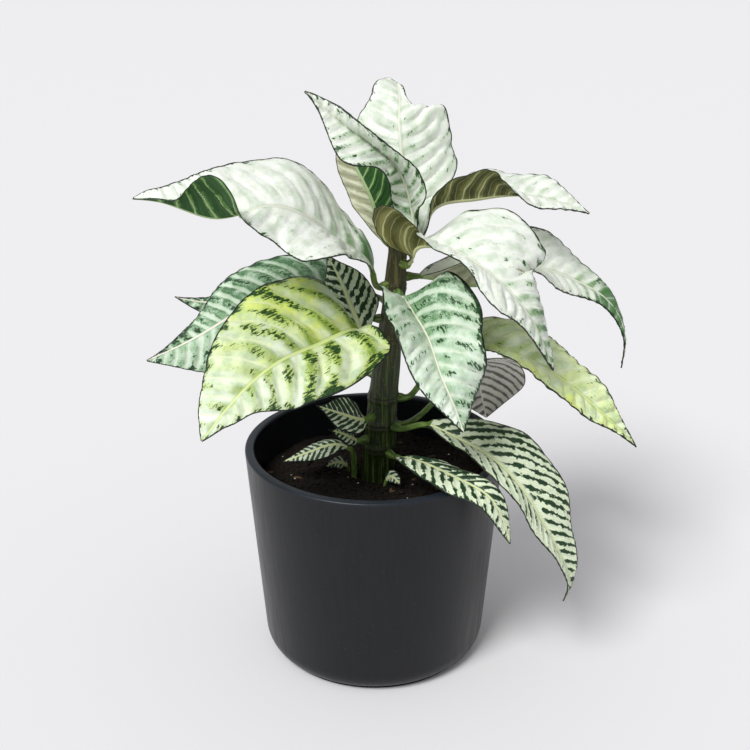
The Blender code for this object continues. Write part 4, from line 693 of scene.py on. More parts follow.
def stem_skin():
    """Green wood going to bark: satin, streaked lengthwise, yellow-green low down and olive-brown above, with
    dark scars at the nodes where leaves left it."""
    made, tree, shader = finish("green_stem_bark")
    coords = add(tree, "ShaderNodeTexCoord", {}, "Object")
    scar = add(tree, "ShaderNodeAttribute", {}, "Fac", attribute_name="scar")
    height = add(tree, "ShaderNodeSeparateXYZ", {0: coords}, 2)
    # streaks about 1 mm wide and 25 mm long
    stretched = add(tree, "ShaderNodeMapping", {0: coords, 3: (950.0, 950.0, 40.0)})
    streak = add(tree, "ShaderNodeTexNoise", {"Vector": stretched, "Scale": 1.0, "Detail": 3.0,
                                              "Roughness": 0.55})
    streak = add(tree, "ShaderNodeMapRange", {0: streak, 1: 0.48, 2: 0.66}, **SMOOTH)
    low = add(tree, "ShaderNodeMix", {0: streak, 6: "#1d2a0f", 7: "#50632a"}, 2, **COLOURS)
    high = add(tree, "ShaderNodeMix", {0: streak, 6: "#332f1a", 7: "#555230"}, 2, **COLOURS)
    climb = add(tree, "ShaderNodeMapRange", {0: height, 1: 0.15, 2: 0.205}, **SMOOTH)
    colour = add(tree, "ShaderNodeMix", {0: climb, 6: low, 7: high}, 2, **COLOURS)
    fleck = add(tree, "ShaderNodeTexNoise", {"Vector": coords, "Scale": 900.0, "Detail": 2.0})
    fleck = add(tree, "ShaderNodeMapRange", {0: fleck, 1: 0.62, 2: 0.7, 4: 0.5})
    colour = add(tree, "ShaderNodeMix", {0: fleck, 6: colour, 7: "#6d6a3c"}, 2, **COLOURS)
    scarred = add(tree, "ShaderNodeMath", {0: scar, 1: 0.75}, **TIMES)
    colour = add(tree, "ShaderNodeMix", {0: scarred, 6: colour, 7: "#2a2413"}, 2, **COLOURS)
    rough = add(tree, "ShaderNodeMapRange", {0: streak, 3: 0.42, 4: 0.6})
    bump = add(tree, "ShaderNodeBump", {"Strength": 0.5, "Distance": 0.0003, "Height": streak}, "Normal")
    feed(shader, {"Base Color": colour, "Roughness": rough, "Normal": bump, "IOR": 1.4})
    return made


def pot_glaze():
    """Glazed stoneware, charcoal with a little blue: a satin glaze with faint runs from top to bottom, specks
    under 0.5 mm, and a lighter line on the rim, part glaze worn thin and part painted highlight."""
    made, tree, shader = finish("glazed_stoneware")
    coords = add(tree, "ShaderNodeTexCoord", {}, "Object")
    height = add(tree, "ShaderNodeSeparateXYZ", {0: coords}, 2)
    # runs about 2.4 mm wide and 45 mm long
    stretched = add(tree, "ShaderNodeMapping", {0: coords, 3: (420.0, 420.0, 22.0)})
    runs = add(tree, "ShaderNodeTexNoise", {"Vector": stretched, "Scale": 1.0, "Detail": 4.0,
                                            "Roughness": 0.6})
    share = add(tree, "ShaderNodeMapRange", {0: runs, 1: 0.3, 2: 0.7})
    colour = add(tree, "ShaderNodeMix", {0: share, 6: "#0b0d11", 7: "#13161b"}, 2, **COLOURS)
    cloud = add(tree, "ShaderNodeTexNoise", {"Vector": coords, "Scale": 30.0, "Detail": 3.0})
    cloud = add(tree, "ShaderNodeMapRange", {0: cloud, 1: 0.35, 2: 0.7, 4: 0.4})
    colour = add(tree, "ShaderNodeMix", {0: cloud, 6: colour, 7: "#151516"}, 2, **COLOURS)
    speck = add(tree, "ShaderNodeTexVoronoi", {"Vector": coords, "Scale": 330.0}, "Distance")
    speck = add(tree, "ShaderNodeMapRange", {0: speck, 1: 0.07, 2: 0.04, 4: 0.35})
    colour = add(tree, "ShaderNodeMix", {0: speck, 6: colour, 7: "#6c7076"}, 2, **COLOURS)
    # painted highlight round the top of the rim, partly where the glaze wears thin
    thin = add(tree, "ShaderNodeMapRange", {0: height, 1: 0.1172, 2: 0.1188, 4: 0.7})
    colour = add(tree, "ShaderNodeMix", {0: thin, 6: colour, 7: "#262d36"}, 2, **COLOURS)
    rough = add(tree, "ShaderNodeMapRange", {0: runs, 1: 0.3, 2: 0.7, 3: 0.3, 4: 0.44})
    bump = add(tree, "ShaderNodeBump", {"Strength": 0.25, "Distance": 0.0002, "Height": runs}, "Normal")
    feed(shader, {"Base Color": colour, "Roughness": rough, "Normal": bump, "IOR": 1.5,
                  "Specular IOR Level": 0.28, "Coat Weight": 0.05, "Coat Roughness": 0.25})
    return made


def soil_mix(name, dark, light, size):
    """Loose soil stuff, such as peat, bark or perlite: matt, mottled from dark to light and darker again
    where damp, with a gritty bump. size is the grain in mm."""
    made, tree, shader = finish(name)
    coords = add(tree, "ShaderNodeTexCoord", {}, "Object")
    grain = add(tree, "ShaderNodeTexNoise", {"Vector": coords, "Scale": 1000.0 / size, "Detail": 5.0,
                                             "Roughness": 0.7})
    share = add(tree, "ShaderNodeMapRange", {0: grain, 1: 0.4, 2: 0.68})
    colour = add(tree, "ShaderNodeMix", {0: share, 6: dark, 7: light}, 2, **COLOURS)
    slow = add(tree, "ShaderNodeTexNoise", {"Vector": coords, "Scale": 60.0, "Detail": 2.0})
    slow = add(tree, "ShaderNodeMapRange", {0: slow, 1: 0.4, 2: 0.65, 4: 0.45})
    colour = add(tree, "ShaderNodeMix", {0: slow, 6: colour, 7: dark}, 2, **COLOURS)
    bump = add(tree, "ShaderNodeBump", {"Strength": 0.8, "Distance": 0.0005, "Height": grain}, "Normal")
    feed(shader, {"Base Color": colour, "Roughness": 0.93, "Normal": bump, "Specular IOR Level": 0.25})
    return made


# Shapes

def place(name, data):
    """A new object in the scene for this mesh, lamp or camera."""
    item = bpy.data.objects.new(name, data)
    bpy.context.scene.collection.objects.link(item)
    return item


def mesh_piece(name, points, faces, finishes, face_finish=None, values=None):
    """A smooth shaded object of these points, in mm, with its finishes and the values its points carry."""
    made = bpy.data.meshes.new(name)
    made.from_pydata(np.asarray(points) * MM, [], faces)
    for one in finishes:
        made.materials.append(one)
    if face_finish is not None:
        made.polygons.foreach_set("material_index", np.asarray(face_finish, np.int32))
    for key, value in (values or {}).items():
        value = np.asarray(value, np.float32)
        kind = "FLOAT" if value.ndim == 1 else "FLOAT_VECTOR"
        field = made.attributes.new(key, kind, "POINT")
        field.data.foreach_set("value" if value.ndim == 1 else "vector", value.ravel())
    made.shade_smooth()
    return place(name, made)


def settle(item, slot, *nodes):
    """The piece moves with the plant's one body and stands for these solids. slot is not used."""
    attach(item, BODY)
    if nodes:
        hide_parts(*nodes)
    return item


def turn_out(item):
    """Turns a closed mesh's faces so that they point outwards."""
    mesh = item.data
    mesh.calc_loop_triangles()
    points = np.empty(len(mesh.vertices) * 3)
    mesh.vertices.foreach_get("co", points)
    points = points.reshape(-1, 3)
    corners = np.empty(len(mesh.loop_triangles) * 3, np.int32)
    mesh.loop_triangles.foreach_get("vertices", corners)
    a, b, c = points[corners.reshape(-1, 3)].transpose(1, 0, 2)
    if (a * np.cross(b, c)).sum() < 0:
        mesh.flip_normals()


def bands(rows, size):
    """Quads between each closed ring of points and the next."""
    quads = []
    for i in range(rows - 1):
        for j in range(size):
            a, b = i * size + j, i * size + (j + 1) % size
            quads.append((a, b, b + size, a + size))
    return quads


def whole_turn(sides):
    """The angles of this many points round a circle."""
    return np.linspace(0, 2 * np.pi, sides, endpoint=False)


def spline(knots, values, at):
    """The natural cubic through the values at the knots, read at each of at."""
    knots = np.asarray(knots, float)
    values = np.asarray(values, float).reshape(len(knots), -1)
    step = np.diff(knots)
    count = len(knots)
    system = np.eye(count)
    target = np.zeros_like(values)
    for i in range(1, count - 1):
        system[i, i - 1:i + 2] = step[i - 1], 2 * (step[i - 1] + step[i]), step[i]
        target[i] = 6 * ((values[i + 1] - values[i]) / step[i] - (values[i] - values[i - 1]) / step[i - 1])
    bend = np.linalg.solve(system, target)
    i = np.clip(np.searchsorted(knots, at, side="right") - 1, 0, count - 2)
    a = ((knots[i + 1] - at) / step[i])[:, None]
    b = 1 - a
    return (a * values[i] + b * values[i + 1]
            + ((a ** 3 - a) * bend[i] + (b ** 3 - b) * bend[i + 1]) * (step[i] ** 2)[:, None] / 6)


def along(values, s):
    """One number, or a list of values at even steps from 0 to 1, read smoothly at s."""
    if np.ndim(values) == 0:
        return np.full(len(s), float(values))
    return spline(np.linspace(0, 1, len(values)), values, s)[:, 0]


def ease(x, low, high):
    """0 below low, 1 above high, smooth between them."""
    t = np.clip((np.asarray(x, float) - low) / (high - low), 0, 1)
    return t * t * (3 - 2 * t)


def bearing(azimuth, elevation):
    """The unit vector that looks this way, in degrees."""
    azimuth, elevation = np.radians(azimuth), np.radians(elevation)
    return np.stack([np.sin(azimuth) * np.cos(elevation), -np.cos(azimuth) * np.cos(elevation),
                     np.sin(elevation) + 0 * azimuth], -1)


def stem_at(z):
    """The stem's axis point and radius at this height, mm."""
    heights = [p[2] for p in STEM_AXIS]
    axis = spline(heights, STEM_AXIS, np.array([float(z)]))[0]
    radius = spline(heights, STEM_RADIUS, np.array([float(z)]))[0, 0]
    swell = sum(math.exp(-((z - node) / 2.5) ** 2) for node in STEM_NODES)
    return axis, radius + NODE_SWELL * swell


def wall_radius(z):
    """The pot's outer radius at this height, mm."""
    return POT_BASE_RADIUS + (POT_RIM_RADIUS - POT_BASE_RADIUS) * z / POT_HEIGHT


def lathe(name, profile, finish_used):
    """A closed profile of (radius, height) points in mm, from the axis round to the axis, turned about Z."""
    profile = np.array(profile, float)
    turn = whole_turn(TURN_STEPS)
    rings = profile[1:-1]
    points = np.stack([rings[:, None, 0] * np.cos(turn), rings[:, None, 0] * np.sin(turn),
                       rings[:, None, 1] + 0 * turn], -1).reshape(-1, 3)
    points = np.vstack([points, [0, 0, profile[0, 1]], [0, 0, profile[-1, 1]]])
    first, last = len(points) - 2, len(points) - 1
    end = (len(rings) - 1) * TURN_STEPS
    faces = bands(len(rings), TURN_STEPS)
    for j in range(TURN_STEPS):
        k = (j + 1) % TURN_STEPS
        faces.append((first, k, j))
        faces.append((last, end + j, end + k))
    return mesh_piece(name, points, faces, [finish_used])


def rounded(corners, steps):
    """A profile through the corners, each (radius, height, rounding), with arcs in place of sharp corners."""
    out = [corners[0][:2]]
    for before, here, after in zip(corners, corners[1:], corners[2:]):
        come, corner, leave = (np.array(c[:2], float) for c in (before, here, after))
        size = here[2]
        if size == 0:
            out.append(tuple(corner))
            continue
        back = (come - corner) / np.linalg.norm(come - corner)
        ahead = (leave - corner) / np.linalg.norm(leave - corner)
        half = math.acos(np.clip(back @ ahead, -1, 1)) / 2
        reach = size / math.tan(half)
        start, end = corner + back * reach, corner + ahead * reach
        for t in np.linspace(0, 1, steps + 1):
            out.append(tuple((1 - t) ** 2 * start + 2 * t * (1 - t) * corner + t ** 2 * end))
    out.append(corners[-1][:2])
    return out


def pot():
    """From the middle of the floor inside, up the wall, over the lip, down the outside and under the base."""
    corners = [(0, POT_FLOOR, 0), (wall_radius(POT_FLOOR) - POT_WALL, POT_FLOOR, FLOOR_ROUND),
               (POT_RIM_RADIUS - POT_WALL, POT_HEIGHT, LIP_ROUND_INSIDE),
               (POT_RIM_RADIUS, POT_HEIGHT, LIP_ROUND_OUTSIDE), (wall_radius(0), 0, POT_CORNER),
               (FOOT_RADIUS, 0, 0), (FOOT_INSIDE, FOOT_RECESS, FOOT_ROUND), (0, FOOT_RECESS, 0)]
    item = lathe("pot_body", rounded(corners, ARC_STEPS), pot_glaze())
    return settle(item, "pot_glaze", "pot")


def stem_body():
    """A tube along the stem's axis, ridged lengthwise, swollen and scarred at each node, with a domed top."""
    bottom, top = STEM_AXIS[0][2] + STEM_FOOT_TRIM, STEM_AXIS[-1][2]
    turn = whole_turn(STEM_SIDES)
    points, scars = [], []
    for z in np.linspace(bottom, top, STEM_STEPS):
        axis, radius = stem_at(z)
        ridge = 0.16 * np.sin(7 * turn + 0.02 * z) + 0.1 * np.sin(13 * turn - 0.05 * z)
        ridge = ridge + 0.06 * np.sin(29 * turn + z / 9)
        scar = sum(math.exp(-((z - node) / 0.7) ** 2) for node in STEM_NODES)
        lump = 0.14 * np.sin(3 * turn + z / 6)
        reach = radius + ridge + lump - SCAR_DEPTH * scar
        points += [axis + (r * math.cos(a), r * math.sin(a), 0) for r, a in zip(reach, turn)]
        scars += [min(scar, 1.0)] * STEM_SIDES
    axis, radius = stem_at(top)
    for k in range(1, STEM_CAP_STEPS + 1):
        t = k / STEM_CAP_STEPS
        ring = radius * math.sqrt(max(1 - t * t, 0.0)) if k < STEM_CAP_STEPS else 0.3
        points += [axis + (ring * math.cos(a), ring * math.sin(a), STEM_CAP_HEIGHT * t) for a in turn]
        scars += [0.2] * STEM_SIDES
    rows = STEM_STEPS + STEM_CAP_STEPS
    faces = bands(rows, STEM_SIDES)
    faces.append(tuple(range(STEM_SIDES))[::-1])
    faces.append(tuple(range((rows - 1) * STEM_SIDES, rows * STEM_SIDES)))
    item = mesh_piece("stem_body", points, faces, [stem_skin()], values={"scar": scars})
    return settle(item, "stem", "stem")


# Leaves

def midrib(leaf):
    """Fine points from where the leaf starts to its tip, and how far along it each one is."""
    if "seat" in leaf:
        height, azimuth = leaf["seat"]
        axis, radius = stem_at(height)
        out = bearing(azimuth, 0)
        start = [axis + out * (radius + SEAT_GAP), axis + out * (radius + SEAT_GAP + SEAT_RUN)]
    else:
        start = [np.array(leaf["root"], float)]
    route = np.array(start + [np.array(p, float) for p in leaf["route"]])
    chord = np.concatenate([[0], np.cumsum(np.linalg.norm(np.diff(route, axis=0), axis=1))])
    fine = spline(chord, route, np.linspace(0, chord[-1], 400))
    run = np.concatenate([[0], np.cumsum(np.linalg.norm(np.diff(fine, axis=0), axis=1))])
    return fine, run


def frame_at(leaf, fine, run, at):
    """Midrib points at these distances, with the directions ahead, to the right and up from the blade."""
    slope = np.gradient(fine, run, axis=0)
    middle = np.stack([np.interp(at, run, fine[:, k]) for k in range(3)], -1)
    ahead = np.stack([np.interp(at, run, slope[:, k]) for k in range(3)], -1)
    ahead /= np.linalg.norm(ahead, axis=1)[:, None]
    middle += ahead * np.minimum(at, 0)[:, None]
    s = np.clip((at - leaf["stalk"]) / (run[-1] - leaf["stalk"]), 0, 1)
    looks = bearing(*np.array(leaf["face"], float).T)
    face = spline(np.linspace(0, 1, len(looks)), looks, s)
    up = face - (face * ahead).sum(1)[:, None] * ahead
    up /= np.linalg.norm(up, axis=1)[:, None]
    return middle, ahead, np.cross(ahead, up), up


def half_widths(leaf, s, right):
    """How wide one half of the blade is at s, mm."""
    return np.maximum(along(leaf["right" if right else "left"], s), TIP_HALF_WIDTH)


def blade(leaf, fine, run, s, across):
    """The middle surface of the blade: a row of points for each s along it, one for each share across."""
    at = leaf["stalk"] + s * (run[-1] - leaf["stalk"])
    middle, ahead, side, up = frame_at(leaf, fine, run, at)
    height, waves, start = leaf.get("wave", (0, 0, 0))
    fade = np.clip(4 * s, 0, 1) * np.clip(4 * (1 - s), 0, 1)
    curl = math.radians(leaf.get("curl", -25))
    rows = np.empty((len(s), len(across), 3))
    for j, share in enumerate(across):
        half, sign, k = ("right", 1, share) if share > 0 else ("left", -1, -share)
        wide = half_widths(leaf, s, share > 0)
        lift = np.radians(along(leaf.get("lift_" + half, 8), s))
        back = along(leaf.get("back_" + half, 0), s)
        out = (np.sin(lift + curl * k) - np.sin(lift)) / curl
        rise = (np.cos(lift) - np.cos(lift + curl * k)) / curl
        turn = 2 * np.pi * (waves * s + start + (RIGHT_WAVE_SHIFT if sign > 0 else 0))
        rise = rise + height * k ** 2 * np.sin(turn) * fade / wide
        rows[:, j] = (middle + side * (sign * wide * out)[:, None] + up * (wide * rise)[:, None]
                      - ahead * (back * k)[:, None])
    return rows


def vein_grid(leaf, paint, s, across, length, seed):
    """For each point of the blade: which vein it is at, its place on the flattened leaf, and how wide its
    half of the blade is there, in mm."""
    on_right = across[None, :] > 0
    right, left = half_widths(leaf, s, True), half_widths(leaf, s, False)
    wide = np.where(on_right, right[:, None], left[:, None])
    reach = np.abs(across)[None, :] * wide
    broad = max(right.max(), left.max())
    x = s[:, None] * length
    swept = x - reach * paint.get("sweep", 0.5) - reach ** 2 * 0.38 / broad
    # the side veins stand about a third closer at the tip, and every leaf starts them at another place
    shrink = 0.35 / length
    phase = -np.log(1 - shrink * swept) / (shrink * paint["gap"])
    phase = phase + np.where(on_right, 0.0, LEFT_VEIN_SHIFT) + seed * 0.13
    return phase, x + 0 * reach, np.sign(across)[None, :] * reach, wide


def quilted_blade(leaf, paint, rows, grid, s, share, seed):
    """Rings round the blade, made from its middle surface: over it from left to right, then back below."""
    phase, flat_x, flat_y, _ = grid
    over = np.gradient(rows, axis=0)
    sideways = np.gradient(rows, axis=1)
    up = np.cross(sideways, over)
    up /= np.maximum(np.linalg.norm(up, axis=2), 1e-9)[:, :, None]
    reach = np.abs(flat_y)
    scale = min(1.0, paint["gap"] / 10)
    # quilting: the blade swells between the side veins and sinks at them, most in the middle of each half
    bulge = np.abs(np.sin(np.pi * phase)) ** 0.8
    room = ease(share, 0.02, 0.3) * (1 - 0.6 * ease(share, 0.7, 1))
    room = room * ease(s, 0.0, 0.12)[:, None] * (1 - ease(s, 0.8, 1.0)[:, None] * 0.7)
    depth = QUILT_DEPTH[paint["tissue"]]
    swell = 0.45 * np.sin(flat_x * 0.11 + flat_y * 0.07 + seed)
    uneven = 0.75 + swell * np.sin(flat_y * 0.16 - flat_x * 0.05 + 2 * seed)
    quilt = (bulge - 0.55) * depth * scale * room * uneven
    quilt += WRINKLE * scale * np.sin(flat_x * 0.33 + seed) * np.cos(flat_y * 0.41 + 2 * seed) * room
    ripple = np.sin(6 * np.pi * phase + 0.3 * reach)
    quilt += FINE_WRINKLE * scale * ripple * room * (1 - ease(share, 0.5, 1))
    ruffle = RUFFLE * depth * scale * np.cos(2 * np.pi * phase) * ease(share, 0.75, 1.0) * room
    # the midrib lies in a groove above and stands out below, like the side veins
    groove = -0.45 * np.exp(-(reach / 2.2) ** 2) + 0.3 * np.exp(-(reach / 0.8) ** 2)
    groove = groove * scale * (1 - s[:, None]) ** 0.5
    rows = rows + up * (quilt + ruffle)[:, :, None]
    thick = BLADE_THICK - (BLADE_THICK - MARGIN_THICK) * ease(share, 0.85, 1.0)
    under_rib = RIB_DEPTH * (1 - s[:, None]) ** 0.8 * np.exp(-(reach / 1.1) ** 2)
    under_rib = under_rib * (0.5 if leaf.get("small") else 1.0)
    from_vein = np.mod(phase + 0.5, 1) - 0.5
    under_vein = UNDER_VEIN * scale * np.exp(-(from_vein / 0.07) ** 2) * room
    top = rows + up * (thick / 2 + groove)[:, :, None]
    low = rows - up * (thick / 2 + under_rib + under_vein)[:, :, None]
    return np.concatenate([top, low[:, ::-1]], axis=1)


def stalk_tube(leaf, fine, run, angle, blade_foot):
    """Rings round the stalk, and how far along the leaf each one is. The stalk is round, lightly channelled
    above, flared where it clasps the stem, and eases into the first ring of the blade."""
    radius = leaf.get("stalk_radius", STALK_RADIUS)
    ease_from = leaf["stalk"] - min(3.0, leaf["stalk"] / 3)
    at = np.concatenate([[-2.2, -1.2], np.linspace(0, ease_from, 5 + int(leaf["stalk"])),
                         np.linspace(ease_from, leaf["stalk"], 8)[1:-1]])
    middle, _, side, up = frame_at(leaf, fine, run, at)
    flare = radius * (1 + 0.55 * np.exp(-(np.maximum(at, 0) / 2.5) ** 2))
    channel = 1 - 0.3 * np.exp(-(angle / 0.5) ** 2) * ease(at, 2, 6)[:, None]
    out = flare[:, None, None] * np.sin(angle)[None, :, None] * side[:, None]
    rise = flare[:, None] * np.cos(angle)
    top = middle[:, None] + out + (rise * channel)[:, :, None] * up[:, None]
    low = middle[:, None] + out - rise[:, :, None] * up[:, None]
    tube = np.concatenate([top, low[:, ::-1]], axis=1)
    foot = frame_at(leaf, fine, run, np.array([leaf["stalk"]]))[0]
    blend_in = ease(at, ease_from, leaf["stalk"])[:, None, None]
    carried = blade_foot[None] - foot[0] + middle[:, None]
    return (1 - blend_in) * tube + blend_in * carried, at


def leaf_faces(stalk_rows, count, size):
    """Quads along the leaf and a fan at each end, each with its finish: 0 upper, 1 under side, 2 stalk."""
    side_of = [0 if j < size // 2 - 1 or j == size - 1 else 1 for j in range(size)]
    faces = bands(count, size)
    used = [2] * (stalk_rows * size) + side_of * (count - 1 - stalk_rows)
    first, last, end = count * size, count * size + 1, (count - 1) * size
    for j in range(size):
        k = (j + 1) % size
        faces.append((first, k, j))
        faces.append((last, end + j, end + k))
        used += [2, 0]
    return faces, used


def point_values(leaf, paint, grid, s, share, across, at, angle, seed):
    """What every point of a leaf carries for its materials: leaf_readings says what each is for."""
    phase, flat_x, flat_y, wide = grid
    size = 2 * len(across)
    on_right = across[None, :] > 0

    def both(values, stalk_value):
        """A value for each point: given on the blade, and one number on the stalk."""
        ring = np.concatenate([values, values[:, ::-1]], axis=1)
        full = np.concatenate([np.full((len(at), size), float(stalk_value)), ring])
        return np.concatenate([full.ravel(), [stalk_value, values[-1].mean()]])

    def on_stalk(values, stalk_values):
        """A value for each point: given on the blade, and on the stalk one for each point of its rings."""
        full = both(values, 0.0)
        full[:len(stalk_values)] = stalk_values
        return full

    def dressed(left, right):
        """A number that is read along each half."""
        return np.clip(np.where(on_right, along(right, s)[:, None], along(left, s)[:, None]), 0, 1)

    def by_half(pair):
        """One number for each half."""
        return np.where(on_right, pair[1], pair[0]) + 0.0 * phase

    left, right = (np.array(paint[half], float) for half in ("left", "right"))
    wash = dressed(left[:, 0], right[:, 0])
    fleck = dressed(left[:, 1], right[:, 1])
    warm = dressed(*paint["warm"]) if "warm" in paint else 0 * phase
    around = np.concatenate([angle, math.pi - angle[::-1]]) * leaf.get("stalk_radius", STALK_RADIUS)
    x = on_stalk(flat_x, np.repeat(at - leaf["stalk"], size))
    y = on_stalk(flat_y, np.tile(around, len(at)))
    climb = on_stalk(share, np.repeat(ease(at, 0, leaf["stalk"]), size))
    band = both(by_half(paint["band"]), 0.0)
    return {
        "flat": np.stack([x, y, np.full(len(x), seed * 37.0)], -1),
        "vein": both(phase, 0.5),
        "place": np.stack([climb, both(s[:, None] + 0 * phase, 0.0), both(wide * (1 - share), 5.0)], -1),
        "tint": np.stack([both(warm, 0.0), band, 0 * band], -1),
        # the third number is the under side's dark green look: green tissue and painted shade
        "dress": np.stack([both(wash, 0.9), both(fleck, 0.0), both(by_half(paint["green_and_shade_under"]), 0.0)], -1),
    }


def leaf_piece(name, leaf, paint, finishes, seed):
    """One leaf: a stalk that grows out of the stem or the soil, and a thin quilted blade, closed all over."""
    fine, run = midrib(leaf)
    small = leaf.get("small")
    stations, columns = (STATIONS_SMALL, COLUMNS_SMALL) if small else (STATIONS_LARGE, COLUMNS_LARGE)
    half = ((np.arange(columns) + 1) / columns) ** 1.35
    across = np.concatenate([-half[::-1], [0], half])
    s = np.linspace(0, 1, stations + 1)[:-1] ** 0.96
    rows = blade(leaf, fine, run, s, across)
    grid = vein_grid(leaf, paint, s, across, run[-1] - leaf["stalk"], seed)
    share = np.abs(across)[None, :] + 0 * grid[0]
    blade_rings = quilted_blade(leaf, paint, rows, grid, s, share, seed)
    angle = across * math.radians(88)
    tube, at = stalk_tube(leaf, fine, run, angle, blade_rings[0])
    rings = np.concatenate([tube, blade_rings])
    tip = rings[-1].mean(0) + 0.3 * (fine[-1] - fine[-2])
    points = np.concatenate([rings.reshape(-1, 3), [rings[0].mean(0), tip]])
    faces, used = leaf_faces(len(at), rings.shape[0], rings.shape[1])
    values = point_values(leaf, paint, grid, s, share, across, at, angle, seed)
    item = mesh_piece(name + "_blade", points, faces, finishes, used, values)
    turn_out(item)
    return item


# Leaf finishes: leaf_upper, zebra_upper and leaf_under say what each colour is. A stalk has a colour near the
# blade, one near the stem and one for its streaks.
UPPER_SIDES = {
    "white": dict(pale="#eef2e9", hollow_shade="#cbd6c3", warm="#e0e9b0", wash="#a3bf97", deep="#35682f",
                  groove="#8aa77c", mid="#44753a", dark="#1b3a1a", vein="#f3f5ea", rib="#dddfcc",
                  spread=(0.1, 0.44), rows=(0.48, 0.66)),
    "spring": dict(pale="#e3eedb", hollow_shade="#b3cba6", warm="#dcea78", wash="#b4cc62", deep="#6a8f24",
                   groove="#7f9a2a", mid="#44701f", dark="#1d3a1a", vein="#f0f5d2", rib="#d9e79a",
                   spread=(0.14, 0.46), rows=(0.38, 0.6)),
    "mint": dict(pale="#e2eddf", hollow_shade="#a9c3a2", warm="#d9e594", wash="#9cc097", deep="#356638",
                 groove="#6f9d6c", mid="#356434", dark="#16331a", vein="#e4edd6", rib="#ebe6d6",
                 spread=(0.0, 0.26), rows=(0.38, 0.6)),
    "zebra": dict(pale="#e0ebce", hollow_shade="#a5c08f", mid="#2a5327", dark="#112a16", vein="#e9efd5",
                  rib="#dfe8ae"),
}
STALKS = {
    "white": ("#5f7a35", "#44592a", "#9aac5c"),
    "spring": ("#4f7030", "#3a5424", "#8aa450"),
    "mint": ("#52703a", "#3a5426", "#8fa65a"),
    "zebra": ("#55742f", "#3a5624", "#8aa252"),
}
UNDER_SIDES = {
    "pale": dict(pale="#d2d2ba", shade="#a3a583", green="#22501b", light="#5f8a45", vein="#a9c088"),
    "olive": dict(pale="#939059", shade="#5d5c31", green="#36451a", light="#6f793a", vein="#cdd0a0",
                  lines=0.5),
    # painted light: the striped under side is paler than the real one, so that a leaf hanging in shade reads
    # as lit
    "striped": dict(pale="#ebe8dc", shade="#cfcdbf", green="#5a6050", light="#f1eee6", vein="#f6f4ea",
                    field_from=0.26),
}
SLOT_OF = {"white": "leaf_white", "mint": "leaf_green", "spring": "leaf_green", "zebra": "leaf_striped"}
SLOT_BY_NODE = {"leaf_front": "leaf_white"}


def leaves():
    """Every leaf, in its upper side, under side and stalk finishes."""
    uppers, stalks = {}, {}
    for tissue, colours in UPPER_SIDES.items():
        make = zebra_upper if tissue == "zebra" else leaf_upper
        uppers[tissue] = make(tissue + "_leaf_upper_skin", **colours)
        stalks[tissue] = leaf_stalk(tissue + "_leaf_stalk_skin", *STALKS[tissue])
    unders = {side: leaf_under(side + "_leaf_under_skin", **colours) for side, colours in UNDER_SIDES.items()}
    for seed, (name, leaf) in enumerate(LEAVES.items()):
        paint = PAINT[name]
        tissue = paint["tissue"]
        finishes = (uppers[tissue], unders[paint["under"]], stalks[tissue])
        item = leaf_piece(name, leaf, paint, finishes, seed)
        settle(item, SLOT_BY_NODE.get(name, SLOT_OF[tissue]), name)


# Soil

def plug_radius():
    """How far the soil reaches at its surface, mm."""
    return wall_radius(SOIL_LEVEL) - POT_WALL - SOIL_PLAY


def soil_height(x, y, share):
    """How high the soil's surface lies here, mm: dished towards the wall and lumpy. share runs from 0 in the
    middle to 1 at the wall."""
    here = Vector((x, y, 0))
    lumps = noise.noise(here * 0.09) + 0.5 * noise.noise(here * 0.25) + 0.35 * noise.noise(here * 0.7)
    return SOIL_LEVEL - SOIL_EDGE_DROP * share ** 2 + SOIL_BUMP * lumps


def soil_top():
    """A plug that fills the pot, its upper side dished towards the wall and lumpy, closed underneath."""
    reach = plug_radius()
    turn = whole_turn(SOIL_SIDES)
    points = []
    for i in range(SOIL_RINGS):
        radius = 0.5 + (reach - 0.5) * i / (SOIL_RINGS - 1)
        for a in turn:
            x, y = radius * math.cos(a), radius * math.sin(a)
            points.append((x, y, soil_height(x, y, radius / reach)))
    below = ((reach - 0.4, 60.0), (reach - 1.6, POT_FLOOR + 8), (reach - 10, POT_FLOOR + 0.6))
    for radius, z in below:
        points += [(radius * math.cos(a), radius * math.sin(a), z) for a in turn]
    rows = SOIL_RINGS + len(below)
    faces = [(a, d, c, b) for a, b, c, d in bands(rows, SOIL_SIDES)]
    faces.append(tuple(range(SOIL_SIDES)))
    faces.append(tuple(range((rows - 1) * SOIL_SIDES, rows * SOIL_SIDES))[::-1])
    item = mesh_piece("soil_body", points, faces, [soil_mix("damp_potting_mix", "#0d0a08", "#241b14", 1.2)])
    turn_out(item)
    return settle(item, "soil", "soil")


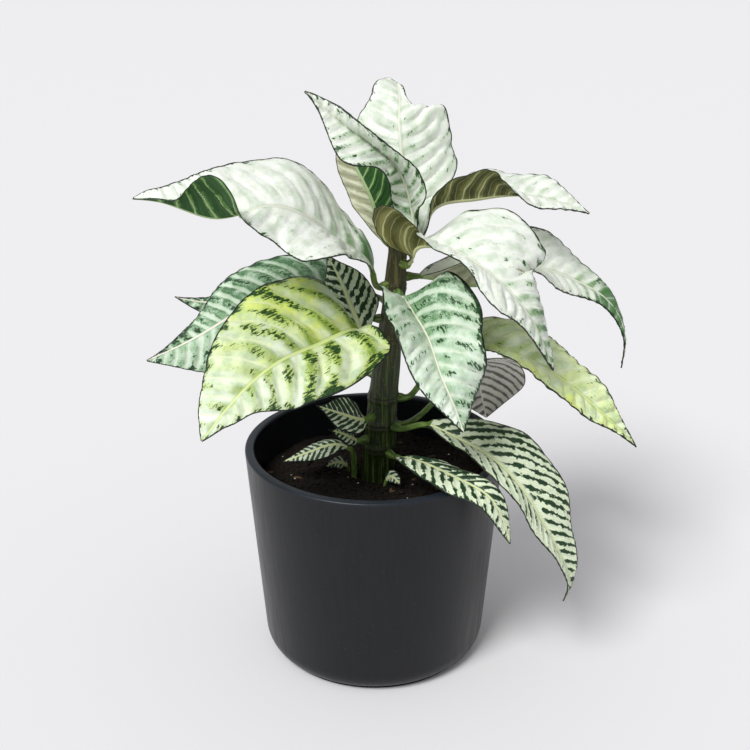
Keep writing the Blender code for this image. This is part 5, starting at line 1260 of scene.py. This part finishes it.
def scatter_tree(name, finish_used):
    """Geometry Nodes: lumps of one kind, scattered over the mesh they are given, each turned, stretched and
    dented."""
    tree = bpy.data.node_groups.new(name, "GeometryNodeTree")
    face = tree.interface
    face.new_socket("Ground", in_out="INPUT", socket_type="NodeSocketGeometry")
    named = {}
    for label, kind in (("Per square metre", "Float"), ("Seed", "Int"), ("Smallest", "Vector"),
                        ("Largest", "Vector"), ("Tilt", "Float"), ("Dent", "Float"), ("Dent size", "Float")):
        socket = face.new_socket(label, in_out="INPUT", socket_type="NodeSocket" + kind)
        named[label] = socket.identifier
    face.new_socket("Lumps", in_out="OUTPUT", socket_type="NodeSocketGeometry")
    ins = tree.nodes.new("NodeGroupInput").outputs
    seed = ins["Seed"]
    spots = add(tree, "GeometryNodeDistributePointsOnFaces",
                {"Mesh": ins["Ground"], "Density": ins["Per square metre"], "Seed": seed}, "Points")
    lump = add(tree, "GeometryNodeMeshIcoSphere", {"Radius": 0.5, "Subdivisions": 2}, "Mesh")
    turned_by = add(tree, "FunctionNodeRandomValue",
                    {0: (-1.0, -1.0, -3.14), 1: (1.0, 1.0, 3.14), "Seed": seed}, data_type="FLOAT_VECTOR")
    tilt = add(tree, "ShaderNodeCombineXYZ", {0: ins["Tilt"], 1: ins["Tilt"], 2: 1.0})
    turned_by = add(tree, "ShaderNodeVectorMath", {0: turned_by, 1: tilt}, **TIMES)
    size = add(tree, "FunctionNodeRandomValue", {0: ins["Smallest"], 1: ins["Largest"], "Seed": seed},
               data_type="FLOAT_VECTOR")
    placed = add(tree, "GeometryNodeInstanceOnPoints",
                 {"Points": spots, "Instance": lump, "Rotation": turned_by, "Scale": size})
    real = add(tree, "GeometryNodeRealizeInstances", {"Geometry": placed})
    where = add(tree, "GeometryNodeInputPosition", {})
    dents = add(tree, "ShaderNodeTexNoise", {"Vector": where, "Scale": ins["Dent size"], "Detail": 1.0},
                "Color")
    offset = add(tree, "ShaderNodeVectorMath", {0: dents, 1: (0.5, 0.5, 0.5)}, **MINUS)
    offset = add(tree, "ShaderNodeVectorMath", {0: offset, "Scale": ins["Dent"]}, operation="SCALE")
    moved = add(tree, "GeometryNodeSetPosition", {"Geometry": real, "Offset": offset})
    done = add(tree, "GeometryNodeSetMaterial", {"Geometry": moved, "Material": finish_used})
    feed(tree.nodes.new("NodeGroupOutput"), {"Lumps": done})
    return tree, named


def scatter(name, ground, finish_used, **wanted):
    """Runs the scatter over the ground and keeps the result as a plain mesh."""
    tree, named = scatter_tree(name + "_scatter", finish_used)
    item = place(name, ground.copy())
    lumps = item.modifiers.new("Scatter", "NODES")
    lumps.node_group = tree
    for label, value in wanted.items():
        lumps[named[label.replace("_", " ").capitalize()]] = value
    graph = bpy.context.evaluated_depsgraph_get()
    made = bpy.data.meshes.new_from_object(item.evaluated_get(graph))
    item.modifiers.clear()
    item.data = made
    return settle(item, "soil")


def open_ground():
    """The part of the soil's upper side that lumps may lie on: clear of the stem and of the pot's wall."""
    reach = wall_radius(SOIL_LEVEL) - POT_WALL - CLEAR_OF_WALL
    steps = np.arange(-reach, reach, GROUND_STEP)
    points, index, faces = [], {}, []
    for x in steps:
        for y in steps:
            index[x, y] = len(points)
            points.append((x, y, soil_height(x, y, math.hypot(x, y) / plug_radius())))
    half = GROUND_STEP / 2
    for x in steps[:-1]:
        for y in steps[:-1]:
            from_middle = math.hypot(x + half, y + half)
            from_stem = math.hypot(x + half - STEM_AXIS[0][0], y + half)
            if from_middle < reach - 1 and from_stem > CLEAR_OF_STEM:
                right, up = x + GROUND_STEP, y + GROUND_STEP
                faces.append(tuple(index[p] for p in ((x, y), (right, y), (right, up), (x, up))))
    made = bpy.data.meshes.new("ground")
    made.from_pydata(np.array(points) * MM, [], faces)
    return made


def soil_lumps():
    """Crumbs of peat, grains of perlite and chips of bark on the soil, with their sizes in metres."""
    ground = open_ground()
    scatter("soil_crumbs", ground, soil_mix("peat_crumb", "#100c09", "#2c2018", 0.8),
            per_square_metre=90000.0, seed=3, tilt=1.0, dent=0.0012, dent_size=700.0,
            smallest=(0.0012, 0.0012, 0.001), largest=(0.0034, 0.0034, 0.0026))
    scatter("soil_perlite", ground, soil_mix("perlite_grain", "#b9b2a4", "#e6e1d6", 0.5),
            per_square_metre=2200.0, seed=11, tilt=1.0, dent=0.0006, dent_size=1500.0,
            smallest=(0.0006, 0.0006, 0.0006), largest=(0.0016, 0.0015, 0.0014))
    scatter("soil_bark", ground, soil_mix("pine_bark_chip", "#3a2a1d", "#7d6549", 1.5),
            per_square_metre=2000.0, seed=29, tilt=0.35, dent=0.0012, dent_size=500.0,
            smallest=(0.003, 0.0014, 0.0008), largest=(0.008, 0.0032, 0.0014))


# Floor, light and camera

def aimed(direction):
    """The turn that points a lamp or a camera this way."""
    return Vector(direction).to_track_quat("-Z", "Y").to_euler()


def studio():
    """A pale floor, one broad soft light from the upper left front, and a pale surround for the shade."""
    floor = bpy.data.meshes.new("floor")
    far = FLOOR_REACH
    floor.from_pydata([(-far, -far, 0), (far, -far, 0), (far, far, 0), (-far, far, 0)], [], [(0, 1, 2, 3)])
    item = place("floor", floor)
    made, _, shader = finish("pale_floor_paint")
    feed(shader, {"Base Color": "#e6e5e6", "Roughness": 0.8, "Specular IOR Level": 0.2})
    floor.materials.append(made)
    lamp = bpy.data.lights.new("key", "SUN")
    lamp.energy = SUN_STRENGTH
    lamp.angle = SUN_WIDTH
    place("key", lamp).rotation_euler = aimed(-bearing(*SUN_FROM))
    world = bpy.data.worlds.new("studio")
    world.use_nodes = True
    feed(world.node_tree.nodes["Background"], {"Color": "#f3f3f6", "Strength": WORLD_STRENGTH})
    bpy.context.scene.world = world
    bpy.context.scene.view_settings.view_transform = "Standard"
    lens = bpy.data.cameras.new("camera")
    lens.lens = LENS
    lens.sensor_width = SENSOR
    eye = place("camera", lens)
    eye.location = CAMERA_AT
    eye.rotation_euler = aimed(Vector(CAMERA_LOOKS_AT) - Vector(CAMERA_AT))
    bpy.context.scene.camera = eye


studio()
pot()
stem_body()
leaves()
soil_top()
soil_lumps()
